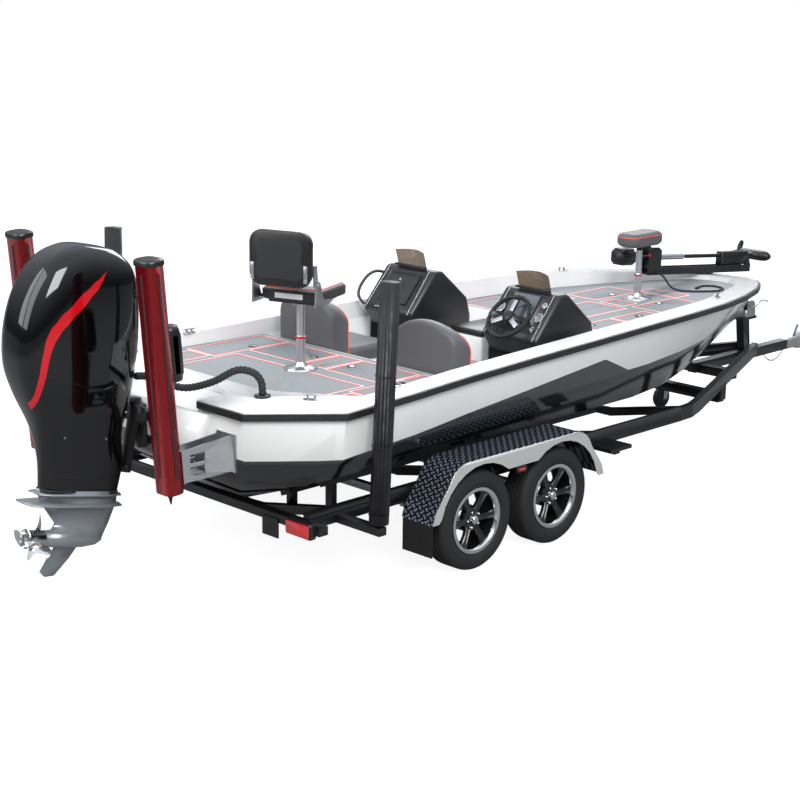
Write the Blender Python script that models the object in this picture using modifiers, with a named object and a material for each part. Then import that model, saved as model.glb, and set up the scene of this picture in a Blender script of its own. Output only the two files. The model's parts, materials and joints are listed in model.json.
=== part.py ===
"""Aluminium fishing boat with an outboard motor, standing on its tandem trailer.

+X is the bow, +Y is port and +Z is up. Lengths along X are written from the rear
axle, and the whole model is moved at the end so that its origin lies on the
ground below the middle of its bounding box.
"""
import math

import bmesh
import bpy
from mathutils import Matrix, Vector

# Fit and place
GAP = 0.0003
CLEAR = 0.005
ORIGIN_X = 1.50

# Hull plating: x, keel z, lower chine y and z, upper chine y and z, sheer y and z
HULL_STATIONS = (
    (-1.130, 0.390, 1.020, 0.7776, 1.180, 0.942, 1.210, 1.212),
    (-0.500, 0.390, 1.000, 0.7700, 1.152, 0.975, 1.182, 1.230),
    (0.000, 0.390, 0.980, 0.7624, 1.118, 1.001, 1.150, 1.245),
    (0.500, 0.390, 0.965, 0.7567, 1.101, 1.012, 1.131, 1.256),
    (1.000, 0.390, 0.950, 0.7510, 1.073, 1.005, 1.113, 1.267),
    (1.500, 0.390, 0.930, 0.7434, 1.042, 0.992, 1.092, 1.277),
    (2.000, 0.390, 0.870, 0.7206, 0.996, 0.988, 1.068, 1.285),
    (2.500, 0.390, 0.760, 0.708, 0.916, 0.992, 1.022, 1.283),
    (3.000, 0.392, 0.590, 0.712, 0.773, 0.984, 0.930, 1.268),
    (3.500, 0.435, 0.390, 0.735, 0.573, 0.960, 0.770, 1.242),
    (4.000, 0.545, 0.190, 0.780, 0.341, 0.918, 0.541, 1.203),
    (4.300, 0.690, 0.085, 0.820, 0.190, 0.888, 0.362, 1.176),
    (4.500, 0.800, 0.034, 0.848, 0.090, 0.872, 0.205, 1.154),
)
STEM_LOW = (4.600, 0.872)
STEM_CHINE = (4.615, 0.890)
STEM_TOP = (4.655, 1.132)
PLATE = 0.005
TRANSOM_X = -1.540
TRANSOM_HALF = 0.790
TRANSOM_LOW_Z = 0.800
TRANSOM_TOP_Z = 1.198
POD_CHINE = (-1.295, 1.040, 0.7852)
KEEL_END_X = -0.950
MOTOR_BOARD_HALF = 0.440
MOTOR_BOARD_FLARE = 0.050
MOTOR_BOARD_DEPTH = 0.060
MOTOR_BOARD_TOP_Z = 1.150
MOTOR_BOARD_LOW_Z = 0.830

# Gunwale cap and rub rail
CAP_OVERHANG = 0.006
CAP_WIDTH = 0.170
CAP_STERN_X = -1.100
CAP_STERN_HALF = 0.560
CAP_THICKNESS = 0.012
CAP_RISE = 0.020
CAP_BOW = ((4.200, 0.220), (4.270, 0.100), (4.280, 0.000))
RAIL_HEIGHT = 0.040
RAIL_DEPTH = 0.018
HOSE_FLANGE = (-1.240, -0.600, 1.240)
WELL_HALF = 0.360
WELL_FRONT_X = -1.330

# Decks, lockers and cockpit
DECK_Z = 1.160
DECK_THICKNESS = 0.020
DECK_UNDER_CAP = 0.100
DECK_BREAK_X = 0.120
BOW_DECK_X = 1.950
FLOOR_Z = 0.830
TUB_WALL = 0.006
REAR_LOCKER_DEPTH = 0.300
BOW_LOCKER_DEPTH = 0.170
LOCKER_WALL = 0.006
LEDGE = 0.025

# Consoles, seats and cooler
CONSOLE_Y = 0.590
CONSOLE_WIDTH = 0.500
CONSOLE_X = 1.020
DASH_LOW = (0.950, 1.270)
DASH_TOP = (1.200, 1.560)
SCREEN_WIDTH = 0.290
SCREEN_HEIGHT = 0.130
WHEEL_DIAMETER = 0.350
HELM_OFF = 0.085
HUB_BACK = 0.034
GLOVEBOX_SIZE = (0.250, 0.300)
GLOVEBOX_UP = 0.010
GLOVEBOX_DEPTH = 0.190
FOOTWELL_DEPTH = 0.400
FOOTWELL_TOP_Z = 1.150
FOOTWELL_WALL = 0.030
HELM_SEAT_Y = 0.575
HELM_SEAT_WIDTH = 0.540
COOLER_SIZE = (0.360, 0.300, 0.330)

# Fishing seats
REAR_POST_X = -0.400
BOW_POST_X = 3.160
REAR_POST_HEIGHT = 0.430
BOW_POST_HEIGHT = 0.390
POST_RADIUS = 0.030

# Trailer
TYRE_RADIUS = 0.326
TYRE_WIDTH = 0.205
BEAD_RADIUS = 0.203
LIP_RADIUS = 0.218
WHEEL_Y = 1.125
BEAD_INSET = 0.018
HUB_RADIUS = 0.035
HUB_SIDES = 12
WHEEL_STEPS = 24
SPOKE_COUNT = 6
AXLE_SPACING = 0.760
RAIL_Y = 0.930
RAIL_WIDTH = 0.050
RAIL_TOP_Z = 0.570
RAIL_TALL = 0.100
RAIL_REAR_X = -1.190
RAIL_BEND_X = 2.650
RAIL_FRONT = (4.800, 0.045)
DRAWBAR_END_X = 5.330
DRAWBAR_Z = (0.435, 0.518)
GUARD_INNER_Y = 0.990
GUARD_OUTER_Y = 1.262
GUARD_TOP_Z = 0.748
GUARD_STAY_X = 0.200
JACK_X = 4.220
JACK_Y = 0.470
JACK_WHEEL_RADIUS = 0.093
JACK_TRAIL = 0.030
JACK_TUBE_RADIUS = 0.030
JACK_PIVOT_Z = 0.520
JACK_TUBE_Z = (0.300, 0.780)

# Outboard
TILT_AXIS = (-1.680, 1.100)
REST_TILT_DEG = 12.0
PROP_LOCAL = (-0.640, -0.773)
PROP_RADIUS = 0.165
PROP_HUB_FRONT = 0.055

# Anchor masts
MAST_PAD_HALF = 0.085
MAST_OFF_BOARD = 0.060
MAST_Y = MOTOR_BOARD_HALF + MOTOR_BOARD_FLARE + MAST_OFF_BOARD + MAST_PAD_HALF
MAST_FOOT = (-1.965, 0.800)
MAST_HEAD = (-2.078, 2.150)
MAST_SIZE = (0.120, 0.160)

# Bow motor
BOW_MOTOR_Y = 0.205
BOW_MOTOR_HINGE = (4.910, 1.200)
BOW_MOTOR_SLOPE_DEG = 5.5
SHAFT_Z = 0.090
CARRIAGE_REAR = -0.370
POD_X = 0.150

# Routes, sections and small repeated places
REAR_LOCKERS = {"port": ((-0.300, 0.060), (0.120, 0.640)), "starboard": ((-0.300, 0.060), (-0.640, -0.120))}
BOW_LOCKERS = {"port": ((2.870, 3.400), (0.170, 0.480)), "starboard": ((2.870, 3.400), (-0.480, -0.170))}
CROSS_X = (-0.850, 0.380, 1.700)
BOTTOM_SLOPE = math.atan2(HULL_STATIONS[0][3] - HULL_STATIONS[0][1], HULL_STATIONS[0][2])
BUNK_Y = (0.420, 0.780)
POLE_FOOT = (-0.950, 1.300, 0.5253)
POLE_HEAD = (-0.900, 1.325, 1.980)
POLE_RADIUS = 0.060
STEER_LOCAL_X = -0.060
COWL_SECTIONS = (
    # height, front x, rear x, half width, corner share
    (-0.476, -0.110, -0.660, 0.075, 0.9),
    (-0.300, -0.110, -0.690, 0.095, 0.8),
    (-0.120, -0.165, -0.760, 0.130, 0.7),
    (0.060, -0.165, -0.880, 0.180, 0.6),
    (0.220, -0.170, -0.960, 0.210, 0.55),
    (0.420, -0.180, -0.990, 0.222, 0.55),
    (0.620, -0.210, -0.970, 0.220, 0.55),
    (0.780, -0.250, -0.910, 0.207, 0.55),
    (0.880, -0.310, -0.830, 0.178, 0.55),
    (0.940, -0.400, -0.730, 0.125, 0.55),
    (0.957, -0.480, -0.660, 0.070, 0.55),
)
HOSE_ROUTE = ((-1.240, -0.600, 1.265), (-1.245, -0.592, 1.325), (-1.275, -0.555, 1.375),
              (-1.340, -0.480, 1.385),
              (-1.430, -0.370, 1.310), (-1.520, -0.240, 1.265), (-1.600, -0.150, 1.285),
              (-1.680, -0.095, 1.330),
              (-1.745, -0.080, 1.346))
HOSE_END = (-1.7795, -0.080, 1.3481)
CABLE_ROUTE = ((3.613, 0.1538, 1.285), (3.613, 0.115, 1.285), (3.619, 0.075, 1.255), (3.628, 0.045, 1.215),
               (3.640, 0.008, 1.183),
               (3.664, -0.055, 1.1702), (3.700, -0.105, 1.1690), (3.740, -0.160, 1.1688),
               (3.880, -0.250, 1.1685), (4.000, -0.230, 1.1685), (4.040, -0.120, 1.1685),
               (3.980, -0.050, 1.1685),
               (3.900, -0.060, 1.1685))

MATERIALS = {}


def start_clean():
    """Remove every object and make the two collections."""
    for ob in list(bpy.data.objects):
        bpy.data.objects.remove(ob, do_unlink=True)
    made = {}
    for name in ("fishing_boat", "cutters"):
        made[name] = bpy.data.collections.new(name)
        bpy.context.scene.collection.children.link(made[name])
    return made["fishing_boat"], made["cutters"]


PARTS, CUTTERS = start_clean()


def material(name, colour, roughness, metallic=0.0, alpha=1.0):
    """One Principled material, kept by name."""
    if name not in MATERIALS:
        mat = bpy.data.materials.new(name)
        mat.use_nodes = True
        shader = mat.node_tree.nodes["Principled BSDF"]
        shader.inputs["Base Color"].default_value = (*colour, 1.0)
        shader.inputs["Roughness"].default_value = roughness
        shader.inputs["Metallic"].default_value = metallic
        shader.inputs["Alpha"].default_value = alpha
        MATERIALS[name] = mat
    return MATERIALS[name]


def white():
    return material("white_paint", (0.78, 0.78, 0.76), 0.35)


def black():
    return material("black_paint", (0.012, 0.012, 0.013), 0.3)


def red():
    return material("red_anodised", (0.42, 0.01, 0.02), 0.28, 0.7)


def silver():
    return material("bare_aluminium", (0.62, 0.63, 0.64), 0.35, 1.0)


def plastic():
    return material("black_plastic", (0.018, 0.018, 0.02), 0.45)


def grey_foam():
    return material("grey_deck_foam", (0.16, 0.17, 0.18), 0.85)


def rubber():
    return material("black_rubber", (0.02, 0.02, 0.02), 0.8)


def vinyl():
    return material("grey_vinyl", (0.09, 0.09, 0.1), 0.6)


def put(name, mesh, mat, smooth=True):
    """Link a mesh as a named part."""
    ob = bpy.data.objects.new(name, mesh)
    PARTS.objects.link(ob)
    mesh.materials.clear()
    mesh.materials.append(mat)
    if smooth:
        mesh.shade_smooth()
        mesh.set_sharp_from_angle(angle=math.radians(35))
    return ob


def apply_modifiers(ob):
    """Keep the evaluated mesh in place of the modifiers."""
    graph = bpy.context.evaluated_depsgraph_get()
    graph.update()
    mesh = bpy.data.meshes.new_from_object(ob.evaluated_get(graph))
    mesh.name = ob.name
    ob.modifiers.clear()
    ob.data = mesh
    return ob


def weld(mesh, distance=0.00001):
    """Join points that lie together and turn the faces outwards."""
    bm = bmesh.new()
    bm.from_mesh(mesh)
    bmesh.ops.remove_doubles(bm, verts=bm.verts, dist=distance)
    bmesh.ops.recalc_face_normals(bm, faces=bm.faces)
    bm.to_mesh(mesh)
    bm.free()


def block(name, size, centre, mat, bevel=0.0, segments=2, turn=None):
    """A box, its edges rounded by a Bevel."""
    bm = bmesh.new()
    bmesh.ops.create_cube(bm, size=1.0)
    bmesh.ops.scale(bm, vec=Vector(size), verts=bm.verts)
    mesh = bpy.data.meshes.new(name)
    bm.to_mesh(mesh)
    bm.free()
    ob = put(name, mesh, mat)
    if bevel:
        mod = ob.modifiers.new("edges", "BEVEL")
        mod.width = bevel
        mod.segments = segments
        apply_modifiers(ob)
    if turn is not None:
        ob.data.transform(turn.to_4x4())
    ob.data.transform(Matrix.Translation(centre))
    return ob


def between(name, x_range, y_range, z_range, mat, bevel=0.0, segments=2):
    """A box given by its ranges."""
    ranges = (x_range, y_range, z_range)
    size = [abs(b - a) for a, b in ranges]
    centre = [(a + b) / 2 for a, b in ranges]
    return block(name, size, centre, mat, bevel, segments)


def rod(name, radius, start, end, mat, sides=20, end_radius=None):
    """A round bar or cone between two points."""
    a = Vector(start)
    b = Vector(end)
    bm = bmesh.new()
    top = radius if end_radius is None else end_radius
    bmesh.ops.create_cone(bm, cap_ends=True, segments=sides, radius1=radius,
                          radius2=top, depth=(b - a).length)
    mesh = bpy.data.meshes.new(name)
    bm.to_mesh(mesh)
    bm.free()
    ob = put(name, mesh, mat)
    turn = Vector((0, 0, 1)).rotation_difference(b - a).to_matrix().to_4x4()
    ob.data.transform(Matrix.Translation((a + b) / 2) @ turn)
    return ob


def turned(name, profile, mat, steps=32, place=None):
    """A closed profile of (radius, height) pairs, turned about Z by a Screw."""
    bm = bmesh.new()
    ring = [bm.verts.new((r, 0, z)) for r, z in profile]
    for a, b in zip(ring, ring[1:] + ring[:1]):
        if a.co.x > 0.00001 or b.co.x > 0.00001:
            bm.edges.new((a, b))
    mesh = bpy.data.meshes.new(name)
    bm.to_mesh(mesh)
    bm.free()
    ob = put(name, mesh, mat)
    mod = ob.modifiers.new("turn", "SCREW")
    mod.steps = steps
    mod.render_steps = steps
    mod.use_merge_vertices = True
    mod.merge_threshold = 0.00005
    apply_modifiers(ob)
    weld(ob.data)
    if place is not None:
        ob.data.transform(place)
    return ob


def across(y, x=0.0, z=0.0):
    """Place that turns a piece's own Z axis to world -Y at a given y."""
    axes = Matrix(((1, 0, 0), (0, 0, -1), (0, 1, 0))).to_4x4()
    return Matrix.Translation((x, y, z)) @ axes


def side_view(y):
    """Place for an outline drawn in X and Z, thick along Y."""
    return across(y)


def end_view(x):
    """Place for an outline drawn in Y and Z, thick along X."""
    axes = Matrix(((0, 0, 1), (1, 0, 0), (0, 1, 0))).to_4x4()
    return Matrix.Translation((x, 0, 0)) @ axes


def top_view(z):
    """Place for an outline drawn in X and Y, thick along Z."""
    return Matrix.Translation((0, 0, z))


def panel(name, outlines, thickness, place, mat, bevel=0.0, segments=2):
    """A flat outline with any holes, made thick about its own plane."""
    curve = bpy.data.curves.new(name, "CURVE")
    curve.dimensions = "2D"
    curve.fill_mode = "BOTH"
    curve.extrude = thickness / 2
    for outline in outlines:
        spline = curve.splines.new("POLY")
        spline.points.add(len(outline) - 1)
        for point, (u, v) in zip(spline.points, outline):
            point.co = (u, v, 0, 1)
        spline.use_cyclic_u = True
    temp = bpy.data.objects.new(name, curve)
    CUTTERS.objects.link(temp)
    graph = bpy.context.evaluated_depsgraph_get()
    graph.update()
    mesh = bpy.data.meshes.new_from_object(temp.evaluated_get(graph))
    bpy.data.objects.remove(temp, do_unlink=True)
    weld(mesh, 0.00002)
    ob = put(name, mesh, mat)
    if bevel:
        mod = ob.modifiers.new("edges", "BEVEL")
        mod.width = bevel
        mod.segments = segments
        mod.angle_limit = math.radians(40)
        apply_modifiers(ob)
    ob.data.transform(place)
    return ob


def tube(name, points, radius, mat, resolution=2, smooth=False):
    """A round tube along points, with filled ends."""
    curve = bpy.data.curves.new(name, "CURVE")
    curve.dimensions = "3D"
    curve.bevel_depth = radius
    curve.bevel_resolution = resolution
    curve.use_fill_caps = True
    if smooth:
        spline = curve.splines.new("NURBS")
        spline.points.add(len(points) - 1)
        spline.order_u = 4
        spline.use_endpoint_u = True
        spline.resolution_u = 4
    else:
        spline = curve.splines.new("POLY")
        spline.points.add(len(points) - 1)
    for point, place in zip(spline.points, points):
        point.co = (*place, 1)
    temp = bpy.data.objects.new(name, curve)
    CUTTERS.objects.link(temp)
    graph = bpy.context.evaluated_depsgraph_get()
    graph.update()
    mesh = bpy.data.meshes.new_from_object(temp.evaluated_get(graph))
    bpy.data.objects.remove(temp, do_unlink=True)
    weld(mesh, 0.00002)
    return put(name, mesh, mat)


def loft(name, rings, mat, smooth=True):
    """A closed solid through rings with the same number of points."""
    bm = bmesh.new()
    rows = [[bm.verts.new(p) for p in ring] for ring in rings]
    count = len(rows[0])
    for low, high in zip(rows, rows[1:]):
        for i in range(count):
            j = (i + 1) % count
            bm.faces.new((low[i], low[j], high[j], high[i]))
    bm.faces.new(list(reversed(rows[0])))
    bm.faces.new(rows[-1])
    bmesh.ops.remove_doubles(bm, verts=bm.verts, dist=0.00001)
    bmesh.ops.recalc_face_normals(bm, faces=bm.faces)
    mesh = bpy.data.meshes.new(name)
    bm.to_mesh(mesh)
    bm.free()
    return put(name, mesh, mat, smooth)


def join(target, others, operation="UNION"):
    """Union, cut or intersect whole pieces with exact Booleans."""
    for other in others:
        mod = target.modifiers.new("join", "BOOLEAN")
        mod.object = other
        mod.operation = operation
        mod.solver = "EXACT"
    apply_modifiers(target)
    for other in others:
        bpy.data.objects.remove(other, do_unlink=True)
    target.data.shade_smooth()
    target.data.set_sharp_from_angle(angle=math.radians(35))
    return target


def cut(target, others):
    return join(target, others, "DIFFERENCE")


def arc(centre, radius, start, end, steps):
    """Points on an arc, angles in degrees."""
    points = []
    for i in range(steps + 1):
        angle = math.radians(start + (end - start) * i / steps)
        points.append((centre[0] + radius * math.cos(angle), centre[1] + radius * math.sin(angle)))
    return points


def rounded(width, height, radius, steps=3, centre=(0.0, 0.0)):
    """Points of a rectangle with round corners."""
    points = []
    corners = ((1, 1, 0), (-1, 1, 90), (-1, -1, 180), (1, -1, 270))
    for sx, sy, start in corners:
        middle = (centre[0] + sx * (width / 2 - radius), centre[1] + sy * (height / 2 - radius))
        points += arc(middle, radius, start, start + 90, steps)
    return points


def set_origin(ob, place):
    """Move an object's origin without moving its mesh."""
    ob.data.transform(Matrix.Translation(-Vector(place)))
    ob.location = Vector(place)


def hull_at(x):
    """The hull's station values at any x, read between the stations."""
    rows = HULL_STATIONS
    if x <= rows[0][0]:
        return rows[0][1:]
    for low, high in zip(rows, rows[1:]):
        if x <= high[0]:
            t = (x - low[0]) / (high[0] - low[0])
            return tuple(a + (b - a) * t for a, b in zip(low[1:], high[1:]))
    return rows[-1][1:]


def sheer_outline(offset):
    """Plan points of the port sheer from the transom corner to the stem."""
    points = [(TRANSOM_X, TRANSOM_HALF, TRANSOM_TOP_Z)]
    points += [(row[0], row[6], row[7]) for row in HULL_STATIONS]
    points.append((STEM_TOP[0], 0.0, STEM_TOP[1]))
    moved = []
    for i, (x, y, z) in enumerate(points):
        before = points[max(i - 1, 0)]
        after = points[min(i + 1, len(points) - 1)]
        if i == 0:
            first = Vector((0.0, 1.0))
            second = Vector((after[0] - x, after[1] - y)).normalized()
        else:
            first = Vector((x - before[0], y - before[1])).normalized()
            second = Vector((after[0] - x, after[1] - y))
            second = second.normalized() if second.length > 0 else Vector((0.0, -1.0))
        out_a = Vector((-first.y, first.x))
        out_b = Vector((-second.y, second.x))
        bisector = (out_a + out_b).normalized()
        reach = offset / max(bisector.dot(out_a), 0.4)
        moved.append((x + bisector.x * reach, max(y + bisector.y * reach, 0.0), z))
    moved[-1] = (STEM_TOP[0] + offset * 1.1, 0.0, STEM_TOP[1])
    return moved


def strip(name, rows, mat, thickness, offset, mirror=True, more=()):
    """An open sheet through rows of points, mirrored to starboard and made thick."""
    bm = bmesh.new()
    for sheet in (rows, more):
        grid = [[bm.verts.new(p) for p in row] for row in sheet]
        for low, high in zip(grid, grid[1:]):
            for i in range(len(low) - 1):
                bm.faces.new((low[i], low[i + 1], high[i + 1], high[i]))
    bmesh.ops.remove_doubles(bm, verts=bm.verts, dist=0.00001)
    mesh = bpy.data.meshes.new(name)
    bm.to_mesh(mesh)
    bm.free()
    return thicken(put(name, mesh, mat), thickness, offset, mirror)


def thicken(ob, thickness, offset, mirror=True):
    """Mirror to starboard, then Solidify."""
    if mirror:
        mod = ob.modifiers.new("both_sides", "MIRROR")
        mod.use_axis = (False, True, False)
        mod.use_clip = True
        mod.merge_threshold = 0.0001
    mod = ob.modifiers.new("wall", "SOLIDIFY")
    mod.thickness = thickness
    mod.offset = offset
    mod.use_even_offset = True
    apply_modifiers(ob)
    return ob


def make_hull():
    """Welded plating: bottom, chine panels, topsides, stern pod and transom."""
    bm = bmesh.new()
    columns = []
    for x, keel, low_y, low_z, up_y, up_z, top_y, top_z in HULL_STATIONS:
        top = top_z - GAP
        columns.append([(x, 0, keel), (x, low_y, low_z), (x, up_y, up_z), (x, top_y, top)])
    columns[0][0] = (KEEL_END_X, 0, columns[0][0][2])
    columns[0][1] = POD_CHINE
    low = (STEM_LOW[0], 0, STEM_LOW[1])
    chine = (STEM_CHINE[0], 0, STEM_CHINE[1])
    columns.append([low, low, chine, (STEM_TOP[0], 0, STEM_TOP[1] - GAP)])
    grid = [[bm.verts.new(p) for p in column] for column in columns]
    for a, b in zip(grid, grid[1:]):
        for i in range(3):
            bm.faces.new((a[i], b[i], b[i + 1], a[i + 1]))
    corner = bm.verts.new((TRANSOM_X, TRANSOM_HALF, TRANSOM_TOP_Z - GAP))
    foot = bm.verts.new((TRANSOM_X, TRANSOM_HALF, TRANSOM_LOW_Z))
    middle_low = bm.verts.new((TRANSOM_X, 0, TRANSOM_LOW_Z))
    middle_top = bm.verts.new((TRANSOM_X, 0, MOTOR_BOARD_TOP_Z))
    board_top = bm.verts.new((TRANSOM_X, WELL_HALF, MOTOR_BOARD_TOP_Z))
    step_top = bm.verts.new((TRANSOM_X, WELL_HALF + 0.02, TRANSOM_TOP_Z - GAP))
    keel, pod, upper, sheer = grid[0]
    bm.faces.new((foot, pod, upper, sheer, corner))
    bm.faces.new((middle_low, foot, corner, step_top, board_top, middle_top))
    bm.faces.new((middle_low, keel, foot))
    bm.faces.new((keel, pod, foot))
    bmesh.ops.remove_doubles(bm, verts=bm.verts, dist=0.00001)
    bmesh.ops.recalc_face_normals(bm, faces=bm.faces)
    mesh = bpy.data.meshes.new("hull")
    bm.to_mesh(mesh)
    bm.free()
    ob = put("hull", mesh, white())
    centre = Vector((1.0, 0, 1.2))
    first = mesh.polygons[0]
    if first.normal.dot(first.center - centre) < 0:
        mesh.flip_normals()
    thicken(ob, PLATE, -1)
    board = panel("board", [[(TRANSOM_X - MOTOR_BOARD_DEPTH, -MOTOR_BOARD_HALF),
                             (TRANSOM_X - MOTOR_BOARD_DEPTH, MOTOR_BOARD_HALF),
                             (TRANSOM_X + 0.002, MOTOR_BOARD_HALF + MOTOR_BOARD_FLARE),
                             (TRANSOM_X + 0.002, -MOTOR_BOARD_HALF - MOTOR_BOARD_FLARE)]],
                  MOTOR_BOARD_TOP_Z - MOTOR_BOARD_LOW_Z,
                  top_view((MOTOR_BOARD_TOP_Z + MOTOR_BOARD_LOW_Z) / 2), white())
    return join(ob, [board])


def cap_inner():
    """Plan points of the cap's inner edge on the port side, stern to bow."""
    inner = sheer_outline(-CAP_WIDTH)
    points = [(CAP_STERN_X, CAP_STERN_HALF)]
    points.append((CAP_STERN_X + 0.270, inner[1][1] - 0.020))
    points += [(p[0], p[1]) for p in inner[2:-3]]
    return points + list(CAP_BOW)


def make_cap():
    """White gunwale cap with its inner lip down to the decks, open at the motor well."""
    outer = sheer_outline(CAP_OVERHANG)
    rise = outer[0][2] + CAP_RISE
    lip = DECK_Z + GAP
    front = []
    for y in (0.0, WELL_HALF):
        front.append([(WELL_FRONT_X, y, rise), (CAP_STERN_X, y, rise), (CAP_STERN_X, y, lip)])
    side = [[(TRANSOM_X - CAP_OVERHANG, WELL_HALF, rise), (WELL_FRONT_X, WELL_HALF, rise),
             (CAP_STERN_X, WELL_HALF, rise), (CAP_STERN_X, WELL_HALF, lip)]]
    for (x, y, z), (u, v) in zip(outer, cap_inner()):
        high = Vector((x, y, z + CAP_RISE))
        inner = Vector((u, v, cap_top(u)))
        side.append([high, (high + inner) / 2, inner, Vector((u, v, lip))])
    cap = strip("gunwale_cap", side, white(), CAP_THICKNESS, -1, more=front)
    x, y, z = HOSE_FLANGE
    flange = rod("flange", 0.050, (x, y, z - 0.035), (x, y, z), plastic(), 16)
    return join(cap, [make_splash_well(), flange])


def make_rub_rail():
    """Black rub rail round the edge of the cap."""
    base = sheer_outline(CAP_OVERHANG + GAP)
    rows = []
    for x, y, z in [(base[0][0], WELL_HALF + 0.02, base[0][2])] + base:
        top = z + CAP_RISE - 0.004
        rows.append([(x, y, top), (x, y, top - RAIL_HEIGHT)])
    ob = strip("rub_rail", rows, rubber(), RAIL_DEPTH, -1)
    return ob


def make_splash_well():
    """Motor well tray between the transom and the cap's front edge."""
    wall = 0.006
    rise = TRANSOM_TOP_Z + CAP_RISE - CAP_THICKNESS / 2
    front = WELL_FRONT_X + CAP_THICKNESS / 2
    outline = [(TRANSOM_X + PLATE + GAP, MOTOR_BOARD_TOP_Z - 0.10), (front - 0.09, MOTOR_BOARD_TOP_Z - 0.10),
               (front, rise), (TRANSOM_X + PLATE + GAP, rise)]
    body = panel("splash_well", [outline], 2 * WELL_HALF + 2 * wall, side_view(0), white())
    hollow = [(TRANSOM_X, MOTOR_BOARD_TOP_Z - 0.10 + wall),
              (front - 0.09 - wall, MOTOR_BOARD_TOP_Z - 0.10 + wall),
              (front - wall, rise + 0.05), (TRANSOM_X - 0.05, rise + 0.05),
              (TRANSOM_X - 0.05, MOTOR_BOARD_TOP_Z)]
    inside = panel("inside", [hollow], 2 * WELL_HALF - wall, side_view(0), white())
    return cut(body, [inside])


def deck_outline(x_low, x_high, under):
    """Deck edge, lying a little under the cap, for both sides."""
    edge = []
    points = cap_inner()
    for x, y in points:
        if x_low < x < x_high:
            edge.append((x, y + under))
    return edge


def locker(name, x_range, y_range, depth, mat):
    """Solid and hollow of a locker bin with a ledge that carries its lid."""
    low = DECK_Z - depth
    out = LOCKER_WALL + CLEAR
    bin_outer = between(name, (x_range[0] - out, x_range[1] + out), (y_range[0] - out, y_range[1] + out),
                        (low, DECK_Z - 0.002), mat)
    hole_top = between("hole", (x_range[0] - CLEAR, x_range[1] + CLEAR),
                       (y_range[0] - CLEAR, y_range[1] + CLEAR),
                       (DECK_Z - DECK_THICKNESS - GAP, DECK_Z + 0.05), mat)
    hole_low = between("hole", (x_range[0] + LEDGE, x_range[1] - LEDGE),
                       (y_range[0] + LEDGE, y_range[1] - LEDGE),
                       (low + LOCKER_WALL, DECK_Z + 0.05), mat)
    return bin_outer, hole_top, hole_low


def make_deck(name, x_low, x_high, corners, lockers, depth, post):
    """One deck with its lockers cut in and their bins below."""
    edge = deck_outline(x_low, x_high, DECK_UNDER_CAP)
    port = corners[0] + edge + corners[1]
    outline = port + [(x, -y) for x, y in reversed(port) if y > 0.00001]
    ob = panel(name, [outline], DECK_THICKNESS, top_view(DECK_Z - DECK_THICKNESS / 2), grey_foam())
    join(ob, [make_seat_post(*post)])
    for x_range, y_range in lockers.values():
        bin_outer, hole_top, hole_low = locker("bin", x_range, y_range, depth, grey_foam())
        join(ob, [bin_outer])
        cut(ob, [hole_top])
        cut(ob, [hole_low])
    return ob


def make_lid(name, x_range, y_range, hinge_side):
    """A deck hatch lid with a flush latch; it hinges on its outboard edge."""
    ob = between(name, x_range, y_range, (DECK_Z - DECK_THICKNESS, DECK_Z), grey_foam())
    middle = (x_range[0] + x_range[1]) / 2
    inner_y = y_range[0] if hinge_side > 0 else y_range[1]
    latch_y = inner_y + hinge_side * 0.06
    ring = rod("latch", 0.030, (middle, latch_y, DECK_Z - 0.004), (middle, latch_y, DECK_Z + 0.004),
               silver(), 12)
    join(ob, [ring])
    hinge_y = (y_range[1] if hinge_side > 0 else y_range[0]) + hinge_side * CLEAR / 2
    set_origin(ob, (middle, hinge_y, DECK_Z + 0.002))
    return ob


def make_decks():
    aft = [(CAP_STERN_X - DECK_UNDER_CAP, 0.0), (CAP_STERN_X - DECK_UNDER_CAP, CAP_STERN_HALF + 0.03)]
    front_y = cap_edge_y(DECK_BREAK_X) + DECK_UNDER_CAP
    aft_edge = [(DECK_BREAK_X - GAP, front_y), (DECK_BREAK_X - GAP, 0.0)]
    make_deck("rear_deck", CAP_STERN_X + 0.05, DECK_BREAK_X, (aft, aft_edge), REAR_LOCKERS,
              REAR_LOCKER_DEPTH, (REAR_POST_X, REAR_POST_HEIGHT))
    bow_y = cap_edge_y(BOW_DECK_X) + DECK_UNDER_CAP
    bow_aft = [(BOW_DECK_X + GAP, 0.0), (BOW_DECK_X + GAP, bow_y)]
    bow_end = [(4.30, 0.15), (4.38, 0.0)]
    make_deck("bow_deck", BOW_DECK_X + 0.02, 4.10, (bow_aft, bow_end), BOW_LOCKERS,
              BOW_LOCKER_DEPTH, (BOW_POST_X, BOW_POST_HEIGHT))
    for side, sign in (("port", 1), ("starboard", -1)):
        make_lid("rear_lid_" + side, *REAR_LOCKERS[side], sign)
        make_lid("bow_lid_" + side, *BOW_LOCKERS[side], sign)


def cap_edge_y(x):
    """The y of the cap's inner edge at a given x."""
    points = cap_inner()
    for low, high in zip(points, points[1:]):
        if x <= high[0]:
            t = (x - low[0]) / (high[0] - low[0])
            return low[1] + (high[1] - low[1]) * t
    return 0.0


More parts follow.
